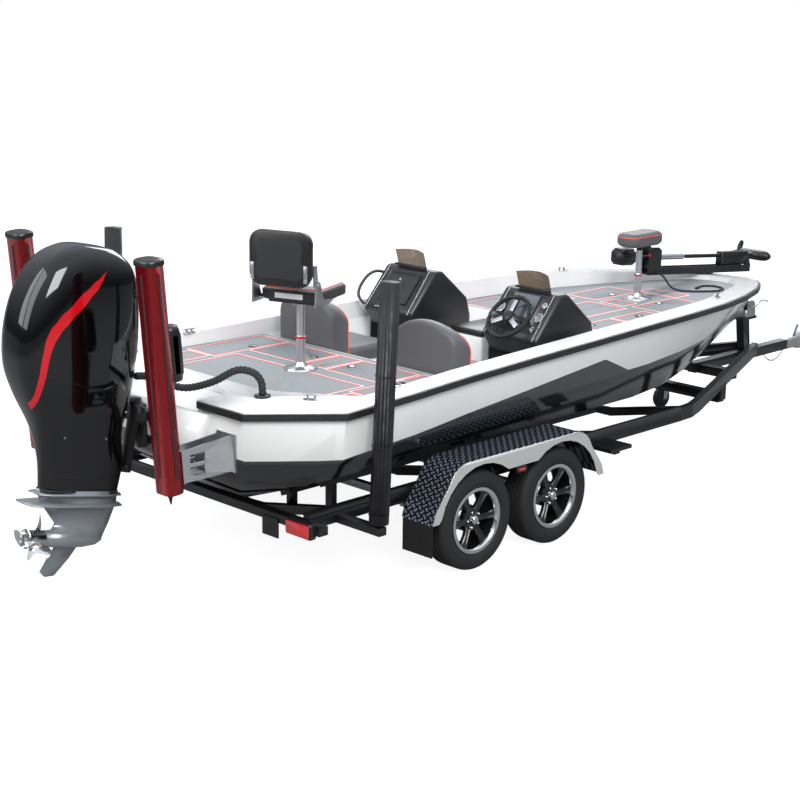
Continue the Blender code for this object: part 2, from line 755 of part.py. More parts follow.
def make_cockpit():
    """Cockpit floor with its side liners and the two deck bulkheads."""
    stations = (DECK_BREAK_X + GAP, 0.5, 1.0, 1.5, BOW_DECK_X - GAP)
    outer = [(x, cap_edge_y(x) + 0.006) for x in stations]
    inner = [(x, y - TUB_WALL) for x, y in outer]
    inner[0] = (outer[0][0] + TUB_WALL, inner[0][1])
    inner[-1] = (outer[-1][0] - TUB_WALL, inner[-1][1])
    low = FLOOR_Z - 0.015
    ring = [(x, y) for x, y in outer] + [(x, -y) for x, y in reversed(outer)]
    hole = [(x, y) for x, y in inner] + [(x, -y) for x, y in reversed(inner)]
    ob = panel("cockpit_floor", [ring], DECK_Z - low, top_view((DECK_Z + low) / 2), white())
    space = panel("space", [hole], DECK_Z - FLOOR_Z + 0.1, top_view((DECK_Z + FLOOR_Z + 0.1) / 2), white())
    return cut(ob, [space])


def console_profile():
    """Side outline of a console, from its aft foot round over the dash to its front."""
    x0 = CONSOLE_X
    return [(x0, FLOOR_Z + GAP), (x0, 1.170), (DASH_LOW[0], DASH_LOW[1]), (DASH_TOP[0], DASH_TOP[1]),
            (DASH_TOP[0] + 0.09, DASH_TOP[1]), (DASH_TOP[0] + 0.36, 1.330),
            (DASH_TOP[0] + 0.40, 1.200), (DASH_TOP[0] + 0.40, FLOOR_Z + GAP)]


def dash_frame(y):
    """Place on the dash: X along the slope upwards, Y to port, Z out of the face."""
    low = Vector((DASH_LOW[0], y, DASH_LOW[1]))
    high = Vector((DASH_TOP[0], y, DASH_TOP[1]))
    along = (high - low).normalized()
    side = Vector((0, 1, 0))
    out = along.cross(side)
    middle = (low + high) / 2
    rows = Matrix((along, side, out)).transposed().to_4x4()
    return Matrix.Translation(middle) @ rows


def make_consoles():
    """Two moulded consoles, their dark screens, the glovebox lid and the helm."""
    for side, sign in (("port", 1), ("starboard", -1)):
        y = sign * CONSOLE_Y
        ob = panel("console_" + side, [console_profile()], CONSOLE_WIDTH, side_view(y), plastic(), 0.03, 2)
        half = CONSOLE_WIDTH / 2 - FOOTWELL_WALL
        footwell = between("footwell", (CONSOLE_X - 0.1, CONSOLE_X + FOOTWELL_DEPTH), (y - half, y + half),
                           (FLOOR_Z - 0.1, FOOTWELL_TOP_Z), plastic())
        cut(ob, [footwell])
        if side == "port":
            hollow = block("box", (*GLOVEBOX_SIZE, 2 * GLOVEBOX_DEPTH), (0, 0, 0), plastic())
            hollow.data.transform(dash_frame(y) @ Matrix.Translation((GLOVEBOX_UP, 0, 0)))
            cut(ob, [hollow])
        else:
            screen = block("screen", (0.20, 0.24, 0.03), (0, 0, 0), plastic(), 0.006)
            screen.data.transform(dash_frame(y) @ Matrix.Translation((0.05, 0.0, 0.008)))
            column = rod("column", 0.035, (0, 0, -0.03), (0, 0, HELM_OFF - HUB_BACK - GAP), plastic(), 14)
            column.data.transform(helm_frame() @ Matrix.Translation((0, 0, -HELM_OFF)))
            join(ob, [screen, column])
    make_glovebox_lid()
    for side, sign in (("port", 1), ("starboard", -1)):
        make_screen("windscreen_" + side, sign)


def make_glovebox_lid():
    """Glovebox lid in the port dash, on a hinge barrel along its upper edge."""
    long, wide = GLOVEBOX_SIZE
    frame = dash_frame(CONSOLE_Y)
    lid = block("glovebox_lid", (long - 2 * CLEAR, wide - 2 * CLEAR, 0.012), (0, 0, 0), plastic())
    lid.data.transform(Matrix.Translation((GLOVEBOX_UP, 0, -0.003)))
    hinge = Vector((GLOVEBOX_UP + long / 2 - CLEAR / 2, 0, 0.004))
    reach = math.hypot(CLEAR / 2, hinge.z) - GAP
    half = wide / 2 - 2 * CLEAR
    barrel = rod("barrel", reach, (hinge.x, -half, hinge.z), (hinge.x, half, hinge.z), plastic(), 12)
    knob = rod("knob", 0.012, (GLOVEBOX_UP - long / 2 + 0.030, 0, 0.0),
               (GLOVEBOX_UP - long / 2 + 0.030, 0, 0.012),
               plastic(), 12)
    join(lid, [barrel, knob])
    lid.data.transform(frame)
    set_origin(lid, frame @ hinge)


def make_screen(name, sign):
    """One curved windscreen standing on the top of a console."""
    low = []
    high = []
    for i in range(9):
        t = -1 + i / 4
        y = sign * CONSOLE_Y + t * SCREEN_WIDTH / 2
        x = DASH_TOP[0] + 0.075 - 0.05 * t * t
        low.append((x, y, DASH_TOP[1] + GAP + 0.001))
        high.append((x - 0.035, y, DASH_TOP[1] + SCREEN_HEIGHT - 0.01 * t * t))
    glass = material("tinted_screen", (0.16, 0.12, 0.07), 0.1, 0.0, 0.5)
    return strip(name, [low, high], glass, 0.004, 0, mirror=False)


def helm_frame():
    """Steering wheel place: Z points out of the dash at the driver."""
    return dash_frame(-CONSOLE_Y) @ Matrix.Translation((-0.08, 0, HELM_OFF))


def make_steering_wheel():
    """Three spoke steering wheel."""
    rim = torus("steering_wheel", WHEEL_DIAMETER / 2 - 0.015, 0.015, plastic(), 24, 6)
    hub = rod("hub", 0.045, (0, 0, -HUB_BACK), (0, 0, 0.012), plastic(), 14)
    spokes = []
    for angle in (0, 180, 270):
        turn = Matrix.Rotation(math.radians(angle), 3, "Z")
        spoke = block("spoke", (WHEEL_DIAMETER / 2 - 0.02, 0.035, 0.012), (0, 0, 0), plastic())
        spoke.data.transform(Matrix.Translation(((WHEEL_DIAMETER / 2 - 0.02) / 2, 0, 0)))
        spoke.data.transform(turn.to_4x4())
        spokes.append(spoke)
    join(rim, [hub] + spokes)
    rim.data.transform(Matrix.Rotation(math.radians(90), 4, "Z"))
    frame = helm_frame()
    rim.data.transform(frame.to_3x3().to_4x4())
    rim.location = frame.translation
    return rim


def torus(name, major, minor, mat, major_steps=32, minor_steps=8, place=None):
    """A ring about Z."""
    profile = [(major + minor * math.cos(a), -minor * math.sin(a)) for a in
               [2 * math.pi * i / minor_steps for i in range(minor_steps)]]
    return turned(name, profile, mat, major_steps, place)


def make_helm_seats():
    """Two helm seats: rounded backs with a cushion ahead, on plinths."""
    for side, sign in (("port", 1), ("starboard", -1)):
        y = sign * HELM_SEAT_Y
        half = HELM_SEAT_WIDTH / 2
        back = []
        for x, lean in ((0.150, 0.0), (0.215, 0.0), (0.330, 0.06)):
            scale = 1.0 - lean
            ring = [(x, y + half * scale, FLOOR_Z + GAP), (x, y + half * scale, 1.36 - lean)]
            ring += [(x, y + half * scale * math.cos(a), 1.36 + 0.13 * math.sin(a) * scale - lean)
                     for a in [math.pi * i / 6 for i in range(1, 6)]]
            ring += [(x, y - half * scale, 1.36 - lean), (x, y - half * scale, FLOOR_Z + GAP)]
            back.append(ring)
        body = loft("helm_seat_" + side, back, vinyl())
        base = between("base", (0.30, 0.76), (y - half + 0.006, y + half - 0.006), (FLOOR_Z + GAP, 1.03),
                       vinyl(), 0.02, 1)
        pad = between("pad", (0.31, 0.80), (y - half + 0.01, y + half - 0.01), (1.005, 1.12), vinyl(), 0.04,
                      2)
        join(body, [base, pad])


def make_cooler():
    """Cool box on the floor between the consoles."""
    x = 1.36
    sx, sy, sz = COOLER_SIZE
    z0 = FLOOR_Z + GAP
    box = between("cooler_box", (x - sx / 2, x + sx / 2), (-sy / 2, sy / 2), (z0, z0 + sz), white(), 0.015)
    space = between("space", (x - sx / 2 + 0.03, x + sx / 2 - 0.03), (-sy / 2 + 0.03, sy / 2 - 0.03),
                    (z0 + 0.03, z0 + sz + 0.1), white())
    cut(box, [space])
    top = z0 + sz + GAP
    lid = between("cooler_lid", (x - sx / 2 - 0.004, x + sx / 2 + 0.004), (-sy / 2 - 0.004, sy / 2 + 0.004),
                  (top, top + 0.045), plastic(), 0.012)
    set_origin(lid, (x + sx / 2 + 0.008, 0, top))


def make_seat_post(x, height):
    """Fixed seat post with its deck plate."""
    plate = [(0, 0), (0.11, 0), (0.11, 0.010), (0.045, 0.022), (POST_RADIUS, 0.05),
             (POST_RADIUS, height * 0.5),
             (POST_RADIUS - 0.004, height * 0.5 + 0.01), (POST_RADIUS - 0.004, height), (0, height)]
    return turned("post", list(reversed(plate)), silver(), 14, Matrix.Translation((x, 0, DECK_Z - GAP)))


def make_fishing_seats():
    """Folding rear seat on its swivel, and the leaning seat at the bow."""
    top = DECK_Z + REAR_POST_HEIGHT
    turn = Matrix.Rotation(math.radians(20), 4, "Z")
    swivel = rod("rear_seat_base", 0.055, (0, 0, 0), (0, 0, 0.03), plastic(), 16)
    pan = block("pan", (0.36, 0.36, 0.02), (0.03, 0, 0.038), plastic())
    pad = block("pad", (0.42, 0.44, 0.10), (0.05, 0, 0.095), vinyl(), 0.035, 2)
    ears = []
    for sign in (1, -1):
        outline = [(-0.23, 0.03), (-0.05, 0.03), (0.02, 0.05), (-0.12, 0.07), (-0.17, 0.19), (-0.22, 0.20)]
        ears.append(panel("ear", [outline], 0.012, side_view(sign * (0.2195 + GAP + 0.006)), silver()))
    rail = rod("rail", 0.008, (-0.12, -0.232, 0.045), (-0.12, 0.232, 0.045), silver(), 12)
    join(swivel, [pan, pad, rail] + ears)
    back = block("rear_seat_back", (0.10, 0.436, 0.36), (-0.235, 0, 0.335), vinyl(), 0.045, 2)
    strap = []
    for sign in (1, -1):
        outline = [(-0.225, 0.165), (-0.195, 0.150), (-0.170, 0.180), (-0.190, 0.30), (-0.225, 0.30)]
        strap.append(panel("strap", [outline], 0.010, side_view(sign * 0.2145), silver()))
    join(back, strap)
    pivot = Vector((-0.196, 0, 0.172))
    for ob in (swivel, back):
        ob.data.transform(turn)
    swivel.location = (REAR_POST_X, 0, top)
    pivot = turn @ pivot
    set_origin(back, pivot)
    back.location = Vector((REAR_POST_X, 0, top)) + pivot
    top = DECK_Z + BOW_POST_HEIGHT
    stem = rod("bow_seat", 0.022, (0, 0, 0), (0, 0, 0.05), plastic(), 16)
    pad = loft("pad", [[(x, y, z) for x, y in rounded(0.44 * s, 0.24 * s, 0.10 * s, 4)]
                       for s, z in ((0.86, 0.04), (1.0, 0.06), (1.0, 0.125), (0.88, 0.145))], vinyl())
    join(stem, [pad])
    stem.location = (BOW_POST_X, 0, top)


def bore_radius(radius, sides):
    """Corner radius of a faceted bore whose flats clear a shaft at any angle."""
    return (radius + GAP) / math.cos(math.pi / sides)


def make_wheels():
    """Four tyres and spoked alloy rims, each with its origin on its axle."""
    half = TYRE_WIDTH / 2
    side = half - BEAD_INSET
    tread = TYRE_RADIUS
    tyre = [(BEAD_RADIUS + GAP, side), (LIP_RADIUS + 0.004, side), (0.255, half),
            (tread - 0.014, half - 0.012),
            (tread, half - 0.034)]
    tyre += [(r, -h) for r, h in reversed(tyre)]
    seat = side + 2 * GAP
    rim = [(0.190, seat + 0.009), (LIP_RADIUS, seat + 0.009), (LIP_RADIUS, seat), (BEAD_RADIUS, seat),
           (BEAD_RADIUS, -seat), (LIP_RADIUS, -seat), (LIP_RADIUS, -seat - 0.009), (0.194, -seat - 0.009),
           (0.184, -0.05), (0.184, 0.03)]
    bore = bore_radius(HUB_RADIUS, HUB_SIDES)
    hub = [(0.0, 0.060), (0.040, 0.060), (0.075, 0.050), (0.085, 0.034), (0.085, 0.012), (bore, 0.012),
           (bore, 0.044), (0.0, 0.044)]
    names = (("rear", 0.0), ("front", AXLE_SPACING))
    for side_name, sign in (("starboard", -1), ("port", 1)):
        for row_name, x in names:
            name = row_name + "_" + side_name
            outward = Matrix.Rotation(math.radians(90 * -sign), 4, "X")
            tyre_ob = turned("tyre_" + name, tyre, rubber(), WHEEL_STEPS)
            rim_ob = turned("rim_" + name, rim, black(), WHEEL_STEPS)
            disc = turned("disc", hub, black(), HUB_SIDES)
            spokes = [make_spoke(2 * math.pi * i / SPOKE_COUNT) for i in range(SPOKE_COUNT)]
            join(rim_ob, [disc] + spokes)
            for ob in (tyre_ob, rim_ob):
                ob.data.transform(outward)
                ob.location = (x, sign * WHEEL_Y, TYRE_RADIUS)


def make_spoke(angle):
    """One wide wheel spoke, dished inwards to the hub."""
    rings = []
    for r, half_w, z_top, depth in ((0.060, 0.026, 0.052, 0.024), (0.110, 0.022, 0.062, 0.026),
                                    (0.1865, 0.034, 0.075, 0.030)):
        ring = []
        for w, z in ((half_w * 0.72, z_top), (half_w, z_top - depth), (-half_w, z_top - depth),
                     (-half_w * 0.72, z_top)):
            ring.append(Matrix.Rotation(angle, 3, "Z") @ Vector((r, w, z)))
        rings.append(ring)
    return loft("spoke", rings, black())


def rail_path():
    """Plan points of the starboard rail's centre line, mirrored by its user."""
    front_x, front_y = RAIL_FRONT
    return [(RAIL_REAR_X, RAIL_Y), (RAIL_BEND_X - 0.15, RAIL_Y), (RAIL_BEND_X, RAIL_Y - 0.010),
            (RAIL_BEND_X + 0.15, RAIL_Y - 0.060), (front_x, front_y)]


def rail_y(x):
    points = rail_path()
    for low, high in zip(points, points[1:]):
        if x <= high[0]:
            t = (x - low[0]) / (high[0] - low[0])
            return low[1] + (high[1] - low[1]) * t
    return points[-1][1]


def box_beam(name, path, width, low, high, mat):
    """A box section that follows a plan path, mitred at its bends."""
    rings = []
    for i, (x, y) in enumerate(path):
        a = path[max(i - 1, 0)]
        b = path[min(i + 1, len(path) - 1)]
        along = Vector((b[0] - a[0], b[1] - a[1])).normalized()
        side = Vector((-along.y, along.x))
        first = Vector((x - a[0], y - a[1]))
        reach = width / 2
        if 0 < i < len(path) - 1:
            reach = width / 2 / max(side.dot(Vector((-first.y, first.x)).normalized()), 0.5)
        left = (x + side.x * reach, y + side.y * reach)
        right = (x - side.x * reach, y - side.y * reach)
        rings.append([(*left, low), (*right, low), (*right, high), (*left, high)])
    return loft(name, rings, mat, False)


def cross_outline(half, centre_low):
    """A cross member that dips under the V of the hull."""
    low = RAIL_TOP_Z - RAIL_TALL
    top = RAIL_TOP_Z - 0.035
    dip = 0.365
    bottom = centre_low
    port = [(0.0, dip), (0.12, dip + 0.006), (half, top)]
    under = [(half, low + 0.010), (0.15, bottom)]
    outline = port + under
    return [(y, z) for y, z in outline] + [(-y, z) for y, z in reversed(outline) if y > 0]


def make_trailer_frame():
    """Bent side rails, dipped cross members, drawbar, winch post and steps."""
    low = RAIL_TOP_Z - RAIL_TALL
    mat = black()
    port = box_beam("trailer_frame", rail_path(), RAIL_WIDTH, low, RAIL_TOP_Z, mat)
    starboard = box_beam("rail", [(x, -y) for x, y in rail_path()], RAIL_WIDTH, low, RAIL_TOP_Z, mat)
    drawbar = between("drawbar", (3.95, DRAWBAR_END_X), (-0.040, 0.040), DRAWBAR_Z, mat)
    pieces = [starboard, drawbar]
    for x in CROSS_X:
        outline = cross_outline(RAIL_Y, 0.315)
        pieces.append(panel("cross", [outline], 0.060, end_view(x), mat))
    half = rail_y(2.72)
    pieces.append(panel("cross", [cross_outline(half, 0.315)], 0.060, end_view(2.72), mat))
    for x, z in ((3.62, 0.415), (4.05, 0.50)):
        half = rail_y(x)
        pieces.append(between("cross", (x - 0.04, x + 0.04), (-half, half), (z - 0.075, z), mat))
    pieces.append(between("lift", (3.585, 3.655), (-rail_y(3.62) - 0.02, -rail_y(3.62) + 0.03), (0.36, 0.50),
                          mat))
    pieces.append(between("lift", (3.585, 3.655), (rail_y(3.62) - 0.03, rail_y(3.62) + 0.02), (0.36, 0.50),
                          mat))
    rear_x = RAIL_REAR_X - 0.020
    pieces.append(between("rear", (rear_x - 0.03, rear_x + 0.04), (-1.10, 1.10), (0.475, 0.530), mat))
    post = [(4.655, 0.50), (4.740, 0.50), (4.700, 0.800), (4.610, 0.800)]
    pieces.append(panel("post", [post], 0.075, side_view(0), mat))
    shelf = [(4.585, 0.790), (4.785, 0.790), (4.785, 0.812), (4.585, 0.812)]
    pieces.append(panel("shelf", [shelf], 0.110, side_view(0), mat))
    for sign in (-1, 1):
        pieces.append(between("step_arm", (1.40, 1.46), sorted((sign * 0.94, sign * 1.20)), (0.48, 0.515),
                              mat))
        pieces.append(between("step", (1.315, 1.545), sorted((sign * 1.00, sign * 1.235)), (0.510, 0.535),
                              mat))
        pieces.append(between("pole_arm", (-0.98, -0.92), sorted((sign * 0.94, sign * 1.335)),
                              (0.475, 0.525), mat))
    join(port, pieces + make_bunks() + make_lamp_boxes() + [make_coupler(), make_jack_bracket()])
    return port


def bunk_frame(y, x=0.0):
    """Place on the hull's bottom: X along, Y up the deadrise, Z square to the plating."""
    slope = BOTTOM_SLOPE
    along = Vector((1, 0, 0))
    up = Vector((0, math.cos(slope), math.sin(slope)))
    out = along.cross(up)
    keel = HULL_STATIONS[0][1]
    base = Vector((x, y, keel + y * math.tan(slope)))
    return Matrix.Translation(base) @ Matrix((along, up, out)).transposed().to_4x4()


def make_bunks():
    """Four carpeted bunks under the hull bottom, on their brackets."""
    carpet = material("bunk_carpet", (0.03, 0.03, 0.035), 0.95)
    bodies = []
    for y in BUNK_Y:
        for sign in (1, -1):
            plank = block("bunk", (2.55, 0.090, 0.040), (0, 0, 0), carpet)
            plank.data.transform(bunk_frame(y, 0.36) @ Matrix.Translation((0, 0, -0.020 - GAP * 2)))
            stands = []
            for x in CROSS_X[:2]:
                top = HULL_STATIONS[0][1] + y * math.tan(BOTTOM_SLOPE) - 0.030
                foot = 0.365 + (y - 0.12) * (RAIL_TOP_Z - 0.035 - 0.371) / (RAIL_Y - 0.12)
                stands.append(between("stand", (x - 0.02, x + 0.02), (y - 0.03, y + 0.03),
                                      (foot - 0.02, top), carpet))
            join(plank, stands)
            if sign < 0:
                plank.data.transform(Matrix.Scale(-1, 4, (0, 1, 0)))
                plank.data.flip_normals()
            bodies.append(plank)
    return bodies


def make_axles():
    """Two axles with hubs and leaf springs hung under the rails."""
    for name, x in (("axle_rear", 0.0), ("axle_front", AXLE_SPACING)):
        z = TYRE_RADIUS
        beam = between(name, (x - 0.025, x + 0.025), (-0.94, 0.94), (z - 0.025, z + 0.025), silver())
        extra = []
        for sign in (-1, 1):
            extra.append(rod("drum", 0.088, (x, sign * 0.90, z), (x, sign * (WHEEL_Y + 0.0117), z), silver(),
                             16))
            extra.append(rod("stub", HUB_RADIUS, (x, sign * 1.10, z), (x, sign * (WHEEL_Y + 0.043), z),
                             silver(), HUB_SIDES))
            spring = [(x - 0.33, 0.440), (x - 0.20, 0.385), (x, 0.352), (x + 0.20, 0.385), (x + 0.33, 0.440),
                      (x + 0.33, 0.425), (x + 0.20, 0.365), (x + 0.10, 0.340), (x + 0.05, 0.320),
                      (x - 0.05, 0.320), (x - 0.10, 0.340), (x - 0.20, 0.365), (x - 0.33, 0.425)]
            place = side_view(sign * 0.870)
            extra.append(panel("spring", [spring], 0.045, place, silver()))
            for end in (-0.33, 0.33):
                hanger = [(x + end - 0.018, 0.420), (x + end + 0.018, 0.420),
                          (x + end + 0.018, RAIL_TOP_Z - 0.02), (x + end - 0.018, RAIL_TOP_Z - 0.02)]
                extra.append(panel("hanger", [hanger], 0.0340, side_view(sign * 0.8875), silver()))
        join(beam, extra)


def guard_path():
    """Side path of the guard's top, from its rear foot over both wheels."""
    x1 = AXLE_SPACING
    rear = [(-0.445, 0.400), (-0.425, 0.470)]
    over = arc((-0.130, GUARD_TOP_Z - 0.190), 0.190, 160, 100, 4)
    front = arc((x1 + 0.130, GUARD_TOP_Z - 0.190), 0.190, 80, 20, 4)
    return rear + over + front + [(x1 + 0.425, 0.470), (x1 + 0.445, 0.400)]


def make_guards():
    """Tandem guards: a folded top plate with an arched outer flange and its stays."""
    path = guard_path()
    for side, sign in (("starboard", -1), ("port", 1)):
        rows = [[(x, sign * GUARD_INNER_Y, z), (x, sign * GUARD_OUTER_Y, z)] for x, z in path]
        top = strip("guard_" + side, rows, silver(), 0.003, 0, mirror=False)
        lower = []
        x1 = AXLE_SPACING
        lower += [(-0.395, 0.400)]
        lower += arc((0.0, TYRE_RADIUS), 0.385, 165, 52, 9)
        lower += arc((x1, TYRE_RADIUS), 0.385, 128, 15, 9)
        lower += [(x1 + 0.395, 0.400)]
        outline = path + list(reversed(lower))
        flange = panel("flange", [outline], 0.004, side_view(sign * GUARD_OUTER_Y), silver())
        arms = []
        for x in (-GUARD_STAY_X, AXLE_SPACING / 2, AXLE_SPACING + GUARD_STAY_X):
            arms.append(between("arm", (x - 0.02, x + 0.02), sorted((sign * (RAIL_Y + RAIL_WIDTH / 2 + GAP),
                                                                    sign * (GUARD_INNER_Y + 0.012))),
                                (0.52, 0.555), silver()))
            arms.append(between("leg", (x - 0.02, x + 0.02), sorted((sign * (GUARD_INNER_Y + 0.004),
                                                                    sign * (GUARD_INNER_Y + 0.012))),
                                (0.52, GUARD_TOP_Z - 0.002 - (0.02 if x != AXLE_SPACING / 2 else 0.0)),
                                silver()))
        flap = between("flap", (-0.4480, -0.4420), sorted((sign * 1.000, sign * 1.255)), (0.190, 0.415),
                       silver())
        join(top, [flange, flap] + arms)


def make_guide_poles():
    """Padded guide poles that stand on the pole arms."""
    for side, sign in (("starboard", -1), ("port", 1)):
        foot = Vector((POLE_FOOT[0], sign * POLE_FOOT[1], POLE_FOOT[2]))
        head = Vector((POLE_HEAD[0], sign * POLE_HEAD[1], POLE_HEAD[2]))
        sleeve = rod("guide_pole_" + side, POLE_RADIUS, foot + Vector((0, 0, 0.02)), head, rubber(), 18)
        pin = rod("pin", 0.022, foot, foot + Vector((0, 0, 0.10)), rubber(), 12)
        join(sleeve, [pin])


def make_lamp_boxes():
    """Lamp boxes on the rear beam, one each side, and the small plate carrier."""
    x = RAIL_REAR_X - 0.050
    boxes = []
    for sign in (-1, 1):
        boxes.append(between("lamp", (x - 0.055, x + 0.005), sorted((sign * 0.86, sign * 1.08)),
                             (0.455, 0.555),
                             plastic(), 0.012, 1))
    boxes.append(between("carrier", (x - 0.010, x + 0.002), (-0.74, -0.60), (0.380, 0.500), plastic()))
    return boxes


def make_coupler():
    """Galvanised ball coupling with its handle on the end of the drawbar."""
    low, high = DRAWBAR_Z
    middle = (low + high) / 2
    x = DRAWBAR_END_X
    body = between("coupler", (x - 0.010, x + 0.20), (-0.045, 0.045), (low - 0.005, high + 0.010),
                   silver(), 0.015, 1)
    socket = rod("socket", 0.050, (x + 0.20, 0, low - 0.020), (x + 0.20, 0, high + 0.030), silver(), 16)
    join(body, [socket])
    bore = rod("bore", 0.030, (x + 0.20, 0, low - 0.05), (x + 0.20, 0, middle + 0.02), silver(), 16)
    cut(body, [bore])
    lever = [(x + 0.09, high), (x + 0.13, high), (x + 0.20, high + 0.10), (x + 0.17, high + 0.115)]
    handle = panel("handle", [lever], 0.030, side_view(0), silver(), 0.004, 1)
    join(body, [handle])
    return body


def make_winch():
    """Bow winch: drum between cheeks, crank and the snub roller's bracket."""
    z0 = 0.812 + GAP
    centre = (4.705, 0, 0.900)
    drum = rod("winch", 0.040, (centre[0], -0.045, centre[2]), (centre[0], 0.045, centre[2]), silver(), 16)
    cheeks = []
    for sign in (-1, 1):
        outline = [(4.640, z0), (4.770, z0), (4.760, 0.90)]
        outline += arc((centre[0], centre[2]), 0.055, 0, 180, 6)
        cheeks.append(panel("cheek", [outline], 0.006, side_view(sign * 0.048), silver()))
    base = between("base", (4.640, 4.770), (-0.050, 0.050), (z0, z0 + 0.006), silver())
    crank = tube("crank", [(centre[0], -0.04, centre[2]), (centre[0], -0.085, centre[2]),
                           (centre[0] + 0.09, -0.085, centre[2] + 0.05),
                           (centre[0] + 0.09, -0.15, centre[2] + 0.05)],
                 0.008, silver(), 1)
    return join(drum, cheeks + [base, crank])


def jack_frame():
    """Place on the port rail at the jack: Y out of the rail, X along it, Z up."""
    front_x, front_y = RAIL_FRONT
    bend_x, bend_y = rail_path()[3]
    slope = math.atan2(front_y - bend_y, front_x - bend_x)
    out = Vector((-math.sin(slope), math.cos(slope), 0))
    tube_place = Vector((JACK_X, JACK_Y, JACK_PIVOT_Z))
    reach = (JACK_Y - rail_y(JACK_X)) * out.y
    return Matrix.Translation(tube_place - out * reach) @ Matrix.Rotation(slope, 4, "Z"), reach


def make_jack_bracket():
    """Swivel bracket of the jack, clamped on the port rail."""
    place, reach = jack_frame()
    half = reach / 2
    ob = block("bracket", (0.090, half - RAIL_WIDTH / 2 + 0.004, 0.075), (0, 0, 0), silver())
    ob.data.transform(Matrix.Translation((0, (half + RAIL_WIDTH / 2 - 0.004) / 2, 0)))
    plate = rod("plate", 0.060, (0, half - 0.008, 0), (0, half, 0), silver(), 18)
    join(ob, [plate])
    ob.data.transform(place)
    return ob


def make_jack_tube():
    """Outer tube of the jockey jack with its swivel plate and crank."""
    place, reach = jack_frame()
    low, top = JACK_TUBE_Z
    outer = rod("jack_tube", JACK_TUBE_RADIUS, (JACK_X, JACK_Y, low), (JACK_X, JACK_Y, top), silver(), 14)
    plate = rod("plate", 0.060, (0, reach / 2 + GAP, 0), (0, reach / 2 + 0.008, 0), silver(), 18)
    clamp = block("clamp", (0.070, reach / 2, 0.070), (0, 0, 0), silver())
    clamp.data.transform(Matrix.Translation((0, reach * 0.75 + GAP, 0)))
    join(plate, [clamp])
    plate.data.transform(place)
    cap = rod("cap", JACK_TUBE_RADIUS + 0.004, (JACK_X, JACK_Y, top - 0.01), (JACK_X, JACK_Y, top + 0.02),
              silver(), 14)
    crank = tube("crank", [(JACK_X, JACK_Y, top + 0.01), (JACK_X, JACK_Y, top + 0.05),
                           (JACK_X + 0.09, JACK_Y + 0.02, top + 0.05),
                           (JACK_X + 0.09, JACK_Y + 0.02, top + 0.12)],
                 0.008, silver(), 1)
    join(outer, [plate, cap, crank])
    set_origin(outer, place @ Vector((0, reach / 2, 0)))


def make_jack():
    """Jockey jack, lowered to the ground: tube, caster fork and wheel."""
    make_jack_tube()
    stem = rod("jack_caster", 0.022, (JACK_X, JACK_Y, 0.205), (JACK_X, JACK_Y, JACK_TUBE_Z[0] - GAP),
               silver(), 14)
    wheel_x = JACK_X - JACK_TRAIL
    fork = []
    for sign in (-1, 1):
        outline = [(wheel_x - 0.022, 0.080), (wheel_x + 0.022, 0.080), (JACK_X + 0.035, 0.200),
                   (JACK_X + 0.035, 0.215), (JACK_X - 0.045, 0.215), (JACK_X - 0.045, 0.200)]
        fork.append(panel("fork", [outline], 0.005, side_view(JACK_Y + sign * 0.042), silver()))
    bridge = between("bridge", (JACK_X - 0.045, JACK_X + 0.035), (JACK_Y - 0.0435, JACK_Y + 0.0435),
                     (0.203, 0.215), silver())
    pin = rod("pin", 0.008, (wheel_x, JACK_Y - 0.048, JACK_WHEEL_RADIUS),
              (wheel_x, JACK_Y + 0.048, JACK_WHEEL_RADIUS),
              silver(), 12)
    join(stem, fork + [bridge, pin])
    set_origin(stem, (JACK_X, JACK_Y, 0.21))
    r = JACK_WHEEL_RADIUS
    profile = [(bore_radius(0.008, 12), 0.034), (0.048, 0.034), (r - 0.012, 0.030), (r, 0.012)]
    profile += [(a, -b) for a, b in reversed(profile)]
    wheel = turned("jack_wheel", profile, rubber(), 18, Matrix.Rotation(math.radians(90), 4, "X"))
    wheel.location = (wheel_x, JACK_Y, r)


def tilt_place():
    """Turns the motor's upright frame to its tilt at rest, about the tilt tube."""
    x, z = TILT_AXIS
    return Matrix.Translation((x, 0, z)) @ Matrix.Rotation(math.radians(REST_TILT_DEG), 4, "Y")


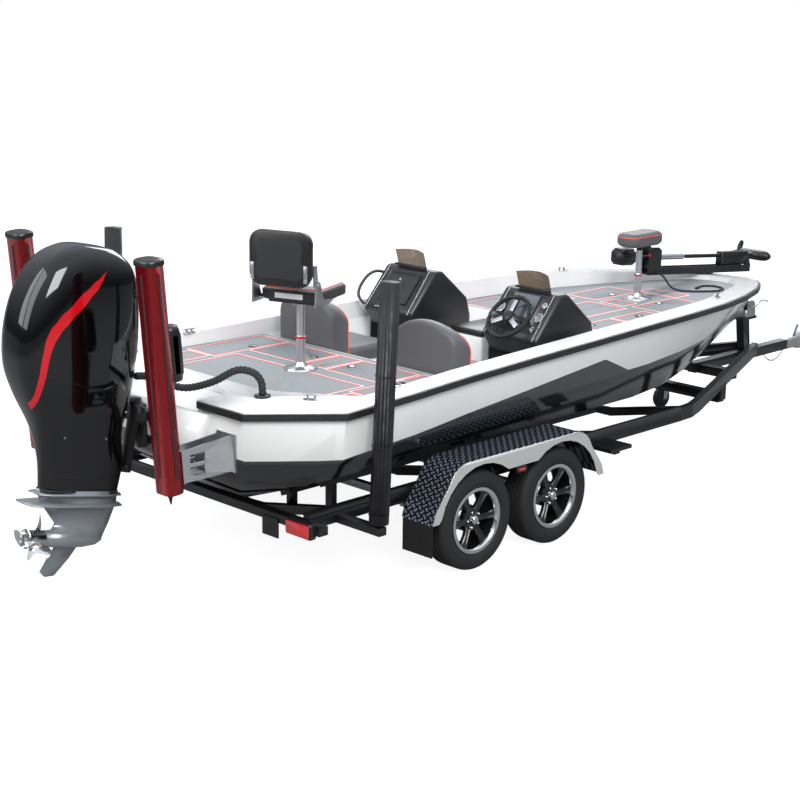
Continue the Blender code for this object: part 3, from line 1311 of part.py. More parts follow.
def make_outboard():
    """Outboard: clamp bracket, swivel, cowl, gearcase and propeller, tilted a little at rest."""
    x0, z0 = TILT_AXIS
    board_x = TRANSOM_X - MOTOR_BOARD_DEPTH - GAP
    clamp = rod("outboard_clamp", 0.016, (x0, -0.150, z0), (x0, 0.150, z0), silver(), 16)
    plates = []
    for sign in (-1, 1):
        outline = [(board_x, 0.840), (board_x, 1.130), (board_x - 0.02, 1.160)]
        outline += arc((x0, z0), 0.042, 80, 190, 6)
        outline += [(x0 - 0.010, 0.98), (board_x - 0.030, 0.840)]
        plates.append(panel("plate", [outline], 0.022, side_view(sign * 0.115), plastic()))
        plates.append(between("foot", (board_x - 0.014, board_x), sorted((sign * 0.06, sign * 0.16)),
                              (0.850, 1.120), plastic()))
    join(clamp, plates)
    swivel = rod("outboard_swivel", 0.034, (STEER_LOCAL_X, 0, -0.330), (STEER_LOCAL_X, 0, 0.050), plastic(),
                 16)
    yoke = []
    for sign in (-1, 1):
        yoke.append(rod("eye", 0.034, (0, sign * 0.060, 0), (0, sign * 0.098, 0), plastic(), 16))
        yoke.append(panel("arm", [[(-0.02, -0.034), (0.0, -0.034), (0.02, 0.0), (0.0, 0.034), (-0.07, 0.040),
                                   (-0.07, -0.060)]], 0.030, side_view(sign * 0.075), plastic()))
    yoke.append(between("web", (-0.085, -0.045), (-0.085, 0.085), (-0.050, 0.035), plastic()))
    bore = rod("bore", bore_radius(0.016, 16), (0, -0.2, 0), (0, 0.2, 0), plastic(), 16)
    join(swivel, yoke)
    cut(swivel, [bore])
    cowl = make_cowl()
    gearcase = make_gearcase()
    prop = make_propeller()
    place = tilt_place()
    for ob in (swivel, cowl, gearcase):
        ob.data.transform(place)
    set_origin(swivel, (x0, 0, z0))
    steer = place @ Vector((STEER_LOCAL_X, 0, 0))
    set_origin(cowl, steer)
    set_origin(gearcase, steer)
    prop.data.transform(place.to_3x3().to_4x4())
    prop.location = place @ Vector((PROP_LOCAL[0], 0, PROP_LOCAL[1]))


def make_cowl():
    """Cowl and lower cover, lofted through rounded sections."""
    rings = []
    for z, front, rear, half, corner in COWL_SECTIONS:
        length = front - rear
        middle = (front + rear) / 2
        radius = min(half, length / 2) * corner
        rings.append([(x, y, z) for x, y in rounded(length, 2 * half, radius, 3, (middle, 0.0))])
    cowl = loft("outboard_cowl", rings, material("gloss_black", (0.01, 0.01, 0.012), 0.12))
    collar_top = rod("collar", 0.034, (STEER_LOCAL_X, 0, 0.0503), (STEER_LOCAL_X, 0, 0.090), plastic(), 16)
    arm_top = between("arm", (-0.25, STEER_LOCAL_X), (-0.028, 0.028), (0.052, 0.088), plastic())
    collar_low = rod("collar", 0.034, (STEER_LOCAL_X, 0, -0.370), (STEER_LOCAL_X, 0, -0.3303), plastic(), 16)
    arm_low = between("arm", (-0.25, STEER_LOCAL_X), (-0.028, 0.028), (-0.368, -0.334), plastic())
    join(cowl, [collar_top, arm_top, collar_low, arm_low])
    return cowl


def airfoil_ring(nose, tail, half, z, steps=5):
    """A long rounded section with a blunt nose and a thin tail."""
    points = []
    for i in range(steps + 1):
        t = i / steps
        points.append((nose + (tail - nose) * t, half * 2.6 * math.sqrt(t) * (1 - t) ** 0.8 + 0.002, z))
    return points + [(x, -y, z) for x, y, z in reversed(points)]


def make_gearcase():
    """Silver lower unit: leg, plates, torpedo and skeg."""
    top = -0.476 - GAP
    leg = loft("outboard_gearcase", [airfoil_ring(-0.100, -0.680, 0.075, top),
                                     airfoil_ring(-0.095, -0.640, 0.060, -0.555),
                                     airfoil_ring(-0.130, -0.520, 0.040, -0.680),
                                     airfoil_ring(-0.165, -0.560, 0.042, -0.775)], silver())
    plate = panel("plate", [[(-0.07, 0.0), (-0.10, 0.07), (-0.25, 0.115), (-0.60, 0.120), (-0.75, 0.085),
                             (-0.76, 0.0), (-0.75, -0.085), (-0.60, -0.120), (-0.25, -0.115),
                             (-0.10, -0.07)]],
                  0.012, top_view(-0.560), silver(), 0.004, 1)
    splash = panel("splash", [[(-0.08, 0.0), (-0.11, 0.06), (-0.25, 0.095), (-0.60, 0.095), (-0.69, 0.06),
                               (-0.69, -0.06), (-0.60, -0.095), (-0.25, -0.095), (-0.11, -0.06)]],
                   0.008, top_view(-0.500), silver())
    shaft_z = PROP_LOCAL[1]
    nose_x = -0.165
    end = nose_x - PROP_LOCAL[0] - PROP_HUB_FRONT - GAP
    body = [(0.0, 0.0), (0.024, 0.015), (0.044, 0.055), (0.057, 0.150), (0.058, 0.250), (0.050, end),
            (0.0, end)]
    torpedo = turned("torpedo", [(r, -h) for r, h in body], silver(), 16,
                     Matrix.Translation((nose_x, 0, shaft_z)) @ Matrix.Rotation(math.radians(90), 4, "Y"))
    skeg_outline = [(-0.300, shaft_z), (-0.470, shaft_z), (-0.575, shaft_z - 0.200),
                    (-0.535, shaft_z - 0.232),
                    (-0.470, shaft_z - 0.225), (-0.380, shaft_z - 0.120)]
    skeg = panel("skeg", [skeg_outline], 0.014, side_view(0), silver(), 0.004, 1)
    return join(leg, [plate, splash, torpedo, skeg])


def blade_ring(radius, chord, pitch_deg, thickness, rake, sweep):
    """One section of a propeller blade, wrapped on a cylinder about X."""
    ring = []
    steps = 4
    pitch = math.radians(pitch_deg)
    for side in (1, -1):
        for i in range(steps + 1):
            t = i / steps if side > 0 else 1 - i / steps
            if side < 0 and i in (0, steps):
                continue
            s = (t - 0.5) * chord + sweep
            bulge = side * thickness * math.sin(math.pi * t) * 0.5
            x = s * math.sin(pitch) + bulge * math.cos(pitch) - rake
            arc_len = s * math.cos(pitch) - bulge * math.sin(pitch)
            angle = arc_len / radius
            ring.append((x, radius * math.sin(angle), radius * math.cos(angle)))
    return ring


def make_propeller():
    """Three bladed propeller on a flared hub."""
    hub_profile = [(0.0, PROP_HUB_FRONT), (0.050, PROP_HUB_FRONT), (0.052, -0.040), (0.060, -0.065),
                   (0.055, -0.067),
                   (0.046, -0.040), (0.024, -0.040), (0.020, -0.058), (0.0, -0.060)]
    hub = turned("outboard_propeller", hub_profile, silver(), 16, Matrix.Rotation(math.radians(90), 4, "Y"))
    blades = []
    for k in range(3):
        rings = []
        for r, chord, pitch, thick, rake, sweep in ((0.046, 0.075, 62, 0.012, 0.0, 0.0),
                                                    (0.080, 0.120, 50, 0.009, 0.006, 0.004),
                                                    (0.120, 0.150, 40, 0.007, 0.014, 0.012),
                                                    (0.150, 0.125, 34, 0.005, 0.022, 0.022),
                                                    (PROP_RADIUS, 0.060, 31, 0.003, 0.027, 0.034)):
            rings.append(blade_ring(r, chord, pitch, thick, rake, sweep))
        blade = loft("blade", rings, silver())
        blade.data.transform(Matrix.Rotation(math.radians(120 * k + 20), 4, "X"))
        blades.append(blade)
    return join(hub, blades)


def mast_place(sign):
    """Mast frame: Z up the mast, X forward, origin at its foot."""
    foot = Vector((MAST_FOOT[0], sign * MAST_Y, MAST_FOOT[1]))
    up = Vector((MAST_HEAD[0] - MAST_FOOT[0], 0, MAST_HEAD[1] - MAST_FOOT[1])).normalized()
    side = Vector((0, 1, 0))
    ahead = side.cross(up)
    return Matrix.Translation(foot) @ Matrix((ahead, side, up)).transposed().to_4x4()


def make_anchor_masts():
    """Shallow water anchors: red masts, drives, brackets and sliding spikes."""
    length = math.hypot(MAST_HEAD[0] - MAST_FOOT[0], MAST_HEAD[1] - MAST_FOOT[1])
    sx, sy = MAST_SIZE
    for side, sign in (("starboard", -1), ("port", 1)):
        place = mast_place(sign)
        outer = rounded(sx, sy, 0.045, 3)
        inner = rounded(sx - 0.040, sy - 0.050, 0.025, 2)
        mast = panel("anchor_mast_" + side, [outer, inner], length - 0.012,
                     Matrix.Translation((0, 0, length / 2 - 0.006)), red())
        cap = panel("cap", [rounded(sx + 0.012, sy + 0.012, 0.05, 3)], 0.030,
                    Matrix.Translation((0, 0, length - 0.010)), red(), 0.006, 1)
        drive = block("drive", (0.084, 0.100, 0.330), (sx / 2 + 0.038, 0, 0.80), plastic(), 0.025, 2)
        join(mast, [cap, drive])
        mast.data.transform(place)
        make_mast_bracket("mast_bracket_" + side, sign)
        spike = rod("anchor_spike_" + side, 0.016, (0, 0, -0.030), (0, 0, length - 0.060), plastic(), 12)
        slide = panel("slide", [rounded(sx - 0.040 - 2 * GAP, sy - 0.050 - 2 * GAP, 0.0247, 2)], 0.060,
                      Matrix.Translation((0, 0, length - 0.075)), plastic())
        tip = rod("tip", 0.015, (0, 0, -0.020), (0, 0, -0.075), plastic(), 12, 0.004)
        join(spike, [slide, tip])
        spike.data.transform(place.to_3x3().to_4x4())
        spike.location = place.translation


def make_mast_bracket(name, sign):
    """Silver side plates with two windows, between the transom and the mast."""
    y = sign * MAST_Y
    front = TRANSOM_X - GAP
    mast_x = MAST_FOOT[0] + MAST_SIZE[0] / 2 + GAP * 2
    lean = (MAST_HEAD[0] - MAST_FOOT[0]) / (MAST_HEAD[1] - MAST_FOOT[1])
    low = 0.850
    high = 1.040
    back_low = mast_x + (low - MAST_FOOT[1]) * lean
    back_high = mast_x + (high - MAST_FOOT[1]) * lean
    windows = []
    for a, b in ((0.03, 0.085), (0.105, 0.160)):
        z0 = low + a
        z1 = low + b
        windows.append([(back_low + 0.05, z0), (back_low + 0.05, z1), (back_low + 0.16, z1),
                        (back_low + 0.16, z0)])
    inset = 0.003
    outline = [(front - inset, low), (front - inset, high + 0.03), (back_high + inset, high),
               (back_low + inset, low)]
    plates = []
    for dy in (-0.050, 0.050):
        plates.append(panel(name if dy < 0 else "plate", [outline] + windows, 0.010, side_view(y + dy),
                            silver()))
    pad_front = between("pad", (front - 0.012, front), (y - MAST_PAD_HALF, y + MAST_PAD_HALF),
                        (low - inset, high + 0.035), silver())
    tie = between("tie", (front - 0.17, front - 0.13), (y - 0.052, y + 0.052), (low + inset, low + 0.02),
                  silver())
    back = panel("back",
                 [[(back_low, low - inset), (back_high, high + inset), (back_high + 0.010, high + inset),
                           (back_low + 0.010, low - inset)]],
                 0.120, side_view(y), silver())
    return join(plates[0], [plates[1], pad_front, tie, back])


def bow_motor_place():
    """Bow motor frame: X forward along the mount, Z square to it, nose a little down."""
    x, z = BOW_MOTOR_HINGE
    return Matrix.Translation((x, BOW_MOTOR_Y, z)) @ Matrix.Rotation(math.radians(BOW_MOTOR_SLOPE_DEG), 4,
                                                                     "Y")


def make_bow_motor():
    """Bow motor stowed on its mount: base, hinged carriage, sliding shaft and propeller."""
    place = bow_motor_place()
    pin_z = 0.032
    mount = between("bow_motor_mount", (-1.415, 0.040), (-0.045, 0.045), (-0.048, -0.030), plastic())
    pieces = []
    wall = [(-1.420, -0.050), (0.045, -0.050), (0.045, 0.010)] + arc((0.0, pin_z), 0.030, 0, 180, 6)
    wall += [(-0.050, 0.010), (-1.250, 0.010), (-1.260, 0.150), (-1.300, 0.175), (-1.400, 0.175),
             (-1.420, 0.150)]
    hole = arc((0.0, pin_z), bore_radius(0.012, 12), 0, 330, 11)
    for sign in (-1, 1):
        pieces.append(panel("wall", [wall, hole], 0.010, side_view(sign * 0.045), plastic()))
    pieces.append(between("saddle", (-1.380, -1.290), (-0.045, 0.045), (0.0, SHAFT_Z - 0.0165 - GAP),
                          plastic()))
    join(mount, pieces)
    mount.data.transform(place)
    feet = []
    for x in (4.280, 4.380):
        top = cap_top(x - 0.03) + GAP
        feet.append(between("foot", (x - 0.03, x + 0.03), (BOW_MOTOR_Y - 0.045, BOW_MOTOR_Y + 0.045),
                            (top, top + 0.05), plastic()))
    join(mount, feet)
    carriage = between("bow_motor_carriage", (CARRIAGE_REAR, 0.020), (-0.034, 0.034),
                       (0.012, SHAFT_Z + 0.034), plastic(), 0.006, 1)
    pin = rod("pin", 0.012, (0, -0.055, pin_z), (0, 0.055, pin_z), plastic(), 12)
    bore = rod("bore", 0.0168, (-0.5, 0, SHAFT_Z), (0.2, 0, SHAFT_Z), plastic(), 16)
    cut(carriage, [bore])
    join(carriage, [pin])
    carriage.data.transform(place)
    set_origin(carriage, place @ Vector((0, 0, pin_z)))
    shaft = rod("bow_motor_shaft", 0.0165, (-1.640, 0, SHAFT_Z), (0.105, 0, SHAFT_Z), plastic(), 16)
    sleeve = rod("sleeve", 0.022, (-1.235, 0, SHAFT_Z), (-0.900, 0, SHAFT_Z), silver(), 16)
    head = block("head", (0.190, 0.150, 0.130), (-1.700, 0, SHAFT_Z + 0.010), plastic(), 0.03, 1)
    pod_profile = [(0.0, 0.175), (0.022, 0.165), (0.040, 0.135), (0.046, 0.090), (0.046, -0.110),
                   (0.030, -0.150),
                   (0.0, -0.150)]
    pod = turned("pod", pod_profile, plastic(), 16, across(0.0, POD_X, SHAFT_Z))
    neck = block("neck", (0.060, 0.050, 0.040), (POD_X - 0.045, 0, SHAFT_Z), plastic(), 0.01)
    join(shaft, [sleeve, head, pod, neck])
    shaft.data.transform(place)
    set_origin(shaft, place @ Vector((0, 0, SHAFT_Z)))
    hub = turned("bow_motor_propeller",
                 [(0.0, 0.030), (0.020, 0.022), (0.026, 0.0), (0.026, -0.0150), (0.0, -0.0150)],
                 plastic(), 20)
    blades = []
    for k in range(3):
        rings = [blade_ring(r, c, p, 0.005, 0.0, 0.0) for r, c, p in
                 ((0.022, 0.030, 55), (0.060, 0.050, 40), (0.100, 0.045, 30), (0.118, 0.022, 26))]
        blade = loft("blade", rings, plastic())
        blade.data.transform(Matrix.Rotation(math.radians(120 * k), 4, "X"))
        blade.data.transform(Matrix.Rotation(math.radians(-90), 4, "Y"))
        blades.append(blade)
    join(hub, blades)
    spin = place @ across(0.150 + 0.015 + GAP, POD_X, SHAFT_Z) @ Matrix.Rotation(math.pi, 4, "X")
    hub.data.transform(spin.to_3x3().to_4x4())
    hub.location = spin.translation


def smooth_route(points, spacing):
    """Points along a Catmull-Rom curve through hand-chosen route points."""
    ends = [points[0]] + list(points) + [points[-1]]
    dense = []
    for p0, p1, p2, p3 in zip(ends, ends[1:], ends[2:], ends[3:]):
        a, b, c, d = (Vector(p) for p in (p0, p1, p2, p3))
        for i in range(20):
            t = i / 20
            dense.append(0.5 * ((2 * b) + (c - a) * t + (2 * a - 5 * b + 4 * c - d) * t * t
                                + (3 * b - a - 3 * c + d) * t ** 3))
    dense.append(Vector(points[-1]))
    total = sum((b - a).length for a, b in zip(dense, dense[1:]))
    count = max(int(round(total / spacing)), 2)
    route = [dense[0]]
    walked = 0.0
    for a, b in zip(dense, dense[1:]):
        step = (b - a).length
        while walked + step >= total * len(route) / count and len(route) < count:
            t = (total * len(route) / count - walked) / step
            route.append(a + (b - a) * t)
        walked += step
    route.append(dense[-1])
    return route


def make_cords():
    """Rigging hose to the motor and the bow motor's power cable on the deck."""
    x, y, z = HOSE_FLANGE
    tube("rigging_hose", [(x, y, z + GAP)] + smooth_route(HOSE_ROUTE, 0.080) + [HOSE_END], 0.024, rubber(), 2)
    tube("bow_motor_cable", smooth_route(CABLE_ROUTE, 0.045), 0.008, rubber(), 2)


def cap_top(x):
    """Height of the cap's top at a given x."""
    points = [(TRANSOM_X, TRANSOM_TOP_Z)] + [(row[0], row[7]) for row in HULL_STATIONS]
    for low, high in zip(points, points[1:]):
        if x <= high[0]:
            t = (x - low[0]) / (high[0] - low[0])
            return low[1] + (high[1] - low[1]) * t + CAP_RISE
    return STEM_TOP[1] + CAP_RISE


def main():
    make_hull()
    make_cap()
    make_rub_rail()
    make_decks()
    make_cockpit()
    make_consoles()
    make_steering_wheel()
    make_helm_seats()
    make_cooler()
    make_fishing_seats()
    make_wheels()
    make_trailer_frame()
    make_axles()
    make_guards()
    make_guide_poles()
    make_winch()
    make_jack()
    make_outboard()
    make_anchor_masts()
    make_bow_motor()
    make_cords()
    for ob in PARTS.objects:
        if ob.parent is None:
            ob.location.x -= ORIGIN_X


main()
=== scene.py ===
"""Dresses the frame of an aluminium fishing boat that stands on its tandem trailer.

The frame gives every rigid form. This file adds finishes, the deck inlay, cushions,
instruments, lamps and small fittings. Lengths along X are written from the trailer's
rear axle and each finished piece is moved to the shared frame at the end.
"""

import json
import math

import bmesh
import bpy
from mathutils import Matrix, Vector


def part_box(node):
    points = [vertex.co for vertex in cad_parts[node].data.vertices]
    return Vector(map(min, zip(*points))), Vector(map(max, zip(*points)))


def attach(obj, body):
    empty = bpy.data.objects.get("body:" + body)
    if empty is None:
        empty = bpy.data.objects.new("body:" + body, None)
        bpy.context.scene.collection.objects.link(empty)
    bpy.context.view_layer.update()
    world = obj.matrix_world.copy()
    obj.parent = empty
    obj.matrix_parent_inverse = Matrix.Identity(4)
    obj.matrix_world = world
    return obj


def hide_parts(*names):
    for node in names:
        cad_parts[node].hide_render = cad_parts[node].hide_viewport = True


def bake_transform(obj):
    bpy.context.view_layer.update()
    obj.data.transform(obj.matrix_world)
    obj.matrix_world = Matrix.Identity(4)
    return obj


bl_info = {
    "name": "Fishing boat on its trailer",
    "version": (1, 0, 0),
    "blender": (4, 5, 0),
    "location": "View3D > Sidebar > Boat",
    "description": "Finishes, cushions and fittings for a fishing boat on a tandem trailer",
    "category": "Object",
}

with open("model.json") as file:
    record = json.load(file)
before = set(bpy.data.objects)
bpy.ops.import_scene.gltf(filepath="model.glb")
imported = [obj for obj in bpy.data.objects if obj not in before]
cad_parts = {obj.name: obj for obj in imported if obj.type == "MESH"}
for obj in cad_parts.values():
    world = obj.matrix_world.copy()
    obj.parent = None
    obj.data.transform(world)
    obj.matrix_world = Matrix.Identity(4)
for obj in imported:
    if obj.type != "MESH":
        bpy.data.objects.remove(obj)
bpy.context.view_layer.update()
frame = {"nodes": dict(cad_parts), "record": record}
NODES = frame["nodes"]

AXLE_X = -1.5
ROOT = "boat_on_trailer"
SIDES = (("port", 1), ("starboard", -1))
DECK_Z = 1.160
MAST_Y = 0.635
WHEEL_Y = 1.125
TYRE_RADIUS = 0.326
AXLE_SPACING = 0.760
CONSOLE_Y = 0.590
HELM_SEAT_Y = 0.575
REAR_SEAT = (-0.400, 0.0, 1.590)
BOW_SEAT = (3.160, 0.0, 1.550)
TILT_TUBE = (-1.680, 0.0, 1.100)
MAST_FOOT = (-1.965, 0.800)
MAST_LEAN = 0.0837
MAST_LENGTH = 1.3547
HOSE_FOOT = (-1.240, -0.600)
FLOOR_MATS = ((0.420, 1.160), (1.560, 1.900))
PAINT_START = -3.04
PAINT_RUN = 6.20
SPOKES = 6
WHEEL_NUTS = 5
CHAIN_LINKS = 17
CHAIN_SPAN = 0.300
CHAIN_SAG = 0.075
CLOTH_FRAMES = 20
DASH_EDGES = ((0.950, 1.270), (1.200, 1.560))
BOW_MOTOR = (4.910, 0.205, 1.200)
BOW_MOTOR_TILT = 5.5
WINCH_DRUM = (4.705, 0.0, 0.900)
CAMERA_AT = (-9.272, -8.259, 3.806)
CAMERA_LENS = 78.55
CAMERA_YAW = 44.89
CAMERA_PITCH = 14.45
CAMERA_ROLL = 0.74
BODY_OF = {node: body for body, nodes in frame["record"]["behaviour"]["bodies"].items() for node in nodes}
TILT = math.radians(12.0)

# ---------------------------------------------------------------- tables

PAINT_EDGE = (
    # distance from the rear axle, height at which the white starts
    (-1.540, 0.930), (-1.130, 0.942), (-0.500, 0.969), (0.000, 1.008), (0.695, 1.064), (1.427, 1.124),
    (1.750, 0.990), (2.000, 0.988), (2.500, 0.992), (3.000, 0.984), (3.500, 0.960), (4.000, 0.918),
    (4.300, 0.888), (4.500, 0.872), (4.640, 0.872))
STRIPE = (
    # height share, distance behind the tilt tube, half width of the stripe
    (0.0, 0.790, 0.000), (1.0, 0.460, 0.000), (0.143, 0.809, 0.0010), (0.283, 0.837, 0.009),
    (0.375, 0.852, 0.014), (0.467, 0.864, 0.018), (0.550, 0.865, 0.021), (0.605, 0.851, 0.029),
    (0.652, 0.816, 0.036), (0.716, 0.745, 0.039), (0.790, 0.658, 0.034), (0.840, 0.596, 0.020),
    (0.878, 0.546, 0.001))
HOSE_ROUTE = (
    # distance ahead of the rear axle, to port and up
    (-1.240, -0.600, 1.265), (-1.245, -0.592, 1.325), (-1.275, -0.555, 1.375), (-1.340, -0.480, 1.385),
    (-1.430, -0.370, 1.310), (-1.520, -0.240, 1.265), (-1.600, -0.150, 1.285), (-1.680, -0.095, 1.330),
    (-1.745, -0.080, 1.346), (-1.7795, -0.080, 1.3481))
CABLE_ROUTE = (
    # distance ahead of the rear axle, to port and up
    (3.613, 0.1538, 1.285), (3.613, 0.115, 1.285), (3.619, 0.075, 1.255), (3.628, 0.045, 1.215),
    (3.640, 0.008, 1.183), (3.664, -0.055, 1.1702), (3.700, -0.105, 1.1690), (3.740, -0.160, 1.1688),
    (3.880, -0.250, 1.1685), (4.000, -0.230, 1.1685), (4.040, -0.120, 1.1685), (3.980, -0.050, 1.1685),
    (3.900, -0.060, 1.1685))
CLEATS = ((-1.085, 0.860, 1.2352, 58.0), (-0.520, 1.010, 1.2510, 3.0), (3.140, 0.765, 1.2830, -18.0))
LIDS = ("rear_lid_port", "rear_lid_starboard", "bow_lid_port", "bow_lid_starboard")
FLOOR_TOP = 0.830
FIELDS = (
    # low x, high x, low y, high y of one hatch or deck field; a low y below nought isn't mirrored
    (-0.586, 0.078, 0.655, 0.955),
    (-0.860, -0.604, 0.690, 0.900),
    (-0.990, -0.420, -0.620, 0.620),
    (-0.288, 0.060, -0.105, 0.105),
    (2.120, 2.790, -0.190, 0.190),
    (2.400, 2.800, 0.335, 0.740),
    (1.985, 2.380, 0.335, 0.800),
    (1.985, 2.100, -0.190, 0.190),
    (3.420, 3.600, -0.190, 0.190),
    (2.840, 3.010, -0.120, 0.120),
)
LATCHES = ((-0.200, 0.715), (2.626, 0.430), (2.091, 0.400))
HELM_BACK = (
    # place along the boat, share of full width, drop of the top
    (0.150, 0.90, 0.020), (0.152, 0.95, 0.008), (0.160, 0.985, 0.002), (0.180, 1.0, 0.0), (0.215, 1.0, 0.0),
    (0.270, 0.985, 0.025), (0.318, 0.955, 0.053), (0.328, 0.935, 0.060), (0.331, 0.90, 0.068))
COWL = (
    # height, front, rear, half width, roundness of the section
    (-0.476, -0.110, -0.660, 0.075, 0.80), (-0.300, -0.110, -0.690, 0.095, 0.74),
    (-0.120, -0.165, -0.760, 0.130, 0.68), (0.060, -0.165, -0.880, 0.180, 0.64),
    (0.220, -0.170, -0.960, 0.210, 0.62), (0.420, -0.180, -0.990, 0.222, 0.62),
    (0.620, -0.210, -0.970, 0.220, 0.62), (0.780, -0.250, -0.910, 0.207, 0.64),
    (0.880, -0.310, -0.830, 0.178, 0.66), (0.940, -0.400, -0.730, 0.125, 0.72),
    (0.957, -0.480, -0.660, 0.070, 0.80), (0.960, -0.550, -0.590, 0.015, 0.90))
BLADE = (
    # radius, chord, pitch in degrees, thickness, rake, sweep
    (0.046, 0.075, 62, 0.012, 0.000, 0.000), (0.080, 0.120, 50, 0.009, 0.006, 0.004),
    (0.120, 0.150, 40, 0.007, 0.014, 0.012), (0.150, 0.125, 34, 0.005, 0.022, 0.022),
    (0.165, 0.060, 31, 0.003, 0.027, 0.034))
TYRE_SHOULDER = (
    # radius and half width of the tyre from its bead to the middle of the tread
    (0.2036, 0.0840), (0.2220, 0.0848), (0.2300, 0.0920), (0.2440, 0.0990), (0.2620, 0.1022),
    (0.2820, 0.1012), (0.3000, 0.0965), (0.3130, 0.0890), (0.3215, 0.0790), (0.3255, 0.0660),
    (0.3260, 0.0560), (0.3190, 0.0540), (0.3190, 0.0480), (0.3260, 0.0460), (0.3260, 0.0250),
    (0.3190, 0.0230), (0.3190, 0.0170), (0.3260, 0.0150))


# ---------------------------------------------------------------- colours and nodes

def linear(code):
    """An sRGB hex colour as linear RGBA."""
    values = []
    for i in (1, 3, 5):
        c = int(code[i:i + 2], 16) / 255
        values.append(c / 12.92 if c <= 0.04045 else ((c + 0.055) / 1.055) ** 2.4)
    return (*values, 1.0)


class Field:
    """A value in a shader that can be summed, scaled and compared like a number."""

    def __init__(self, tree, socket):
        self.tree = tree
        self.socket = socket

    def __add__(self, other):
        return calc(self.tree, "ADD", self, other)

    def __sub__(self, other):
        return calc(self.tree, "SUBTRACT", self, other)

    def __rsub__(self, other):
        return calc(self.tree, "SUBTRACT", other, self)

    def __mul__(self, other):
        return calc(self.tree, "MULTIPLY", self, other)

    def __truediv__(self, other):
        return calc(self.tree, "DIVIDE", self, other)

    def __pow__(self, other):
        return calc(self.tree, "POWER", self, other)

    def __gt__(self, other):
        return calc(self.tree, "GREATER_THAN", self, other)

    def __lt__(self, other):
        return calc(self.tree, "LESS_THAN", self, other)

    def __abs__(self):
        return calc(self.tree, "ABSOLUTE", self)


def socket_of(value):
    """The socket that a field stands for, or the socket itself."""
    return value.socket if isinstance(value, Field) else value


def add(tree, kind, settings=None, links=None):
    """One shader node with its settings and the sockets that feed it."""
    made = tree.nodes.new("ShaderNode" + kind)
    for key, value in (settings or {}).items():
        if hasattr(made, key) and not isinstance(key, int) and key not in made.inputs:
            setattr(made, key, value)
        else:
            made.inputs[key].default_value = value
    for key, source in (links or {}).items():
        tree.links.new(socket_of(source), made.inputs[key])
    return made


def start(name, colour, roughness, metallic=0.0, **more):
    """A new material with its Principled shader's uniform values set on the sockets."""
    mat = bpy.data.materials.new(name)
    mat.use_nodes = True
    tree = mat.node_tree
    shader = tree.nodes["Principled BSDF"]
    shader.inputs["Base Color"].default_value = linear(colour)
    shader.inputs["Roughness"].default_value = roughness
    shader.inputs["Metallic"].default_value = metallic
    for key, value in more.items():
        shader.inputs[key.replace("_", " ")].default_value = value
    mat.diffuse_color = linear(colour)
    return mat, tree, shader


def place(tree):
    """The point of the surface in the object's own metres."""
    return add(tree, "TexCoord").outputs["Object"]


def noise(tree, size_mm, detail=3.0, rough=0.5, stretch=None):
    """A noise whose grain is about size_mm across."""
    point = place(tree)
    if stretch:
        point = add(tree, "Mapping", {"Scale": stretch}, {"Vector": point}).outputs["Vector"]
    made = add(tree, "TexNoise", {"Scale": 1000.0 / size_mm / 2, "Detail": detail, "Roughness": rough},
               {"Vector": point})
    return Field(tree, made.outputs[0])


def bump(tree, shader, height, distance, strength=1.0):
    """Relief of the given depth in metres on a shader."""
    made = add(tree, "Bump", {"Distance": distance, "Strength": strength}, {"Height": height})
    tree.links.new(made.outputs["Normal"], shader.inputs["Normal"])


def spread(tree, factor, low, high):
    """Turns a 0 to 1 factor into a range of values."""
    return add(tree, "MapRange", {"To Min": low, "To Max": high}, {"Value": factor}).outputs["Result"]


def shade(tree, factor, first, second):
    """A colour between two others, which are hex codes or sockets."""
    made = add(tree, "Mix", {"data_type": "RGBA"})
    for number, colour in ((6, first), (7, second)):
        if isinstance(colour, str):
            made.inputs[number].default_value = linear(colour)
        else:
            tree.links.new(socket_of(colour), made.inputs[number])
    tree.links.new(socket_of(factor), made.inputs[0])
    return made.outputs[2]


def axis(tree, letter):
    """One coordinate of the surface point."""
    return Field(tree, add(tree, "SeparateXYZ", links={"Vector": place(tree)}).outputs[letter])


def calc(tree, operation, *values):
    """One sum on fields, sockets or numbers."""
    made = add(tree, "Math", {"operation": operation})
    for i, value in enumerate(values):
        if isinstance(value, (int, float)):
            made.inputs[i].default_value = value
        else:
            tree.links.new(socket_of(value), made.inputs[i])
    return Field(tree, made.outputs[0])


def within(value, low, high):
    """1 where a value lies between two numbers."""
    return (value > low) * (value < high)


def to(shader, tree, **links):
    """Feeds named sockets of a shader."""
    for key, socket in links.items():
        tree.links.new(socket_of(socket), shader.inputs[key.replace("_", " ")])


# ---------------------------------------------------------------- materials

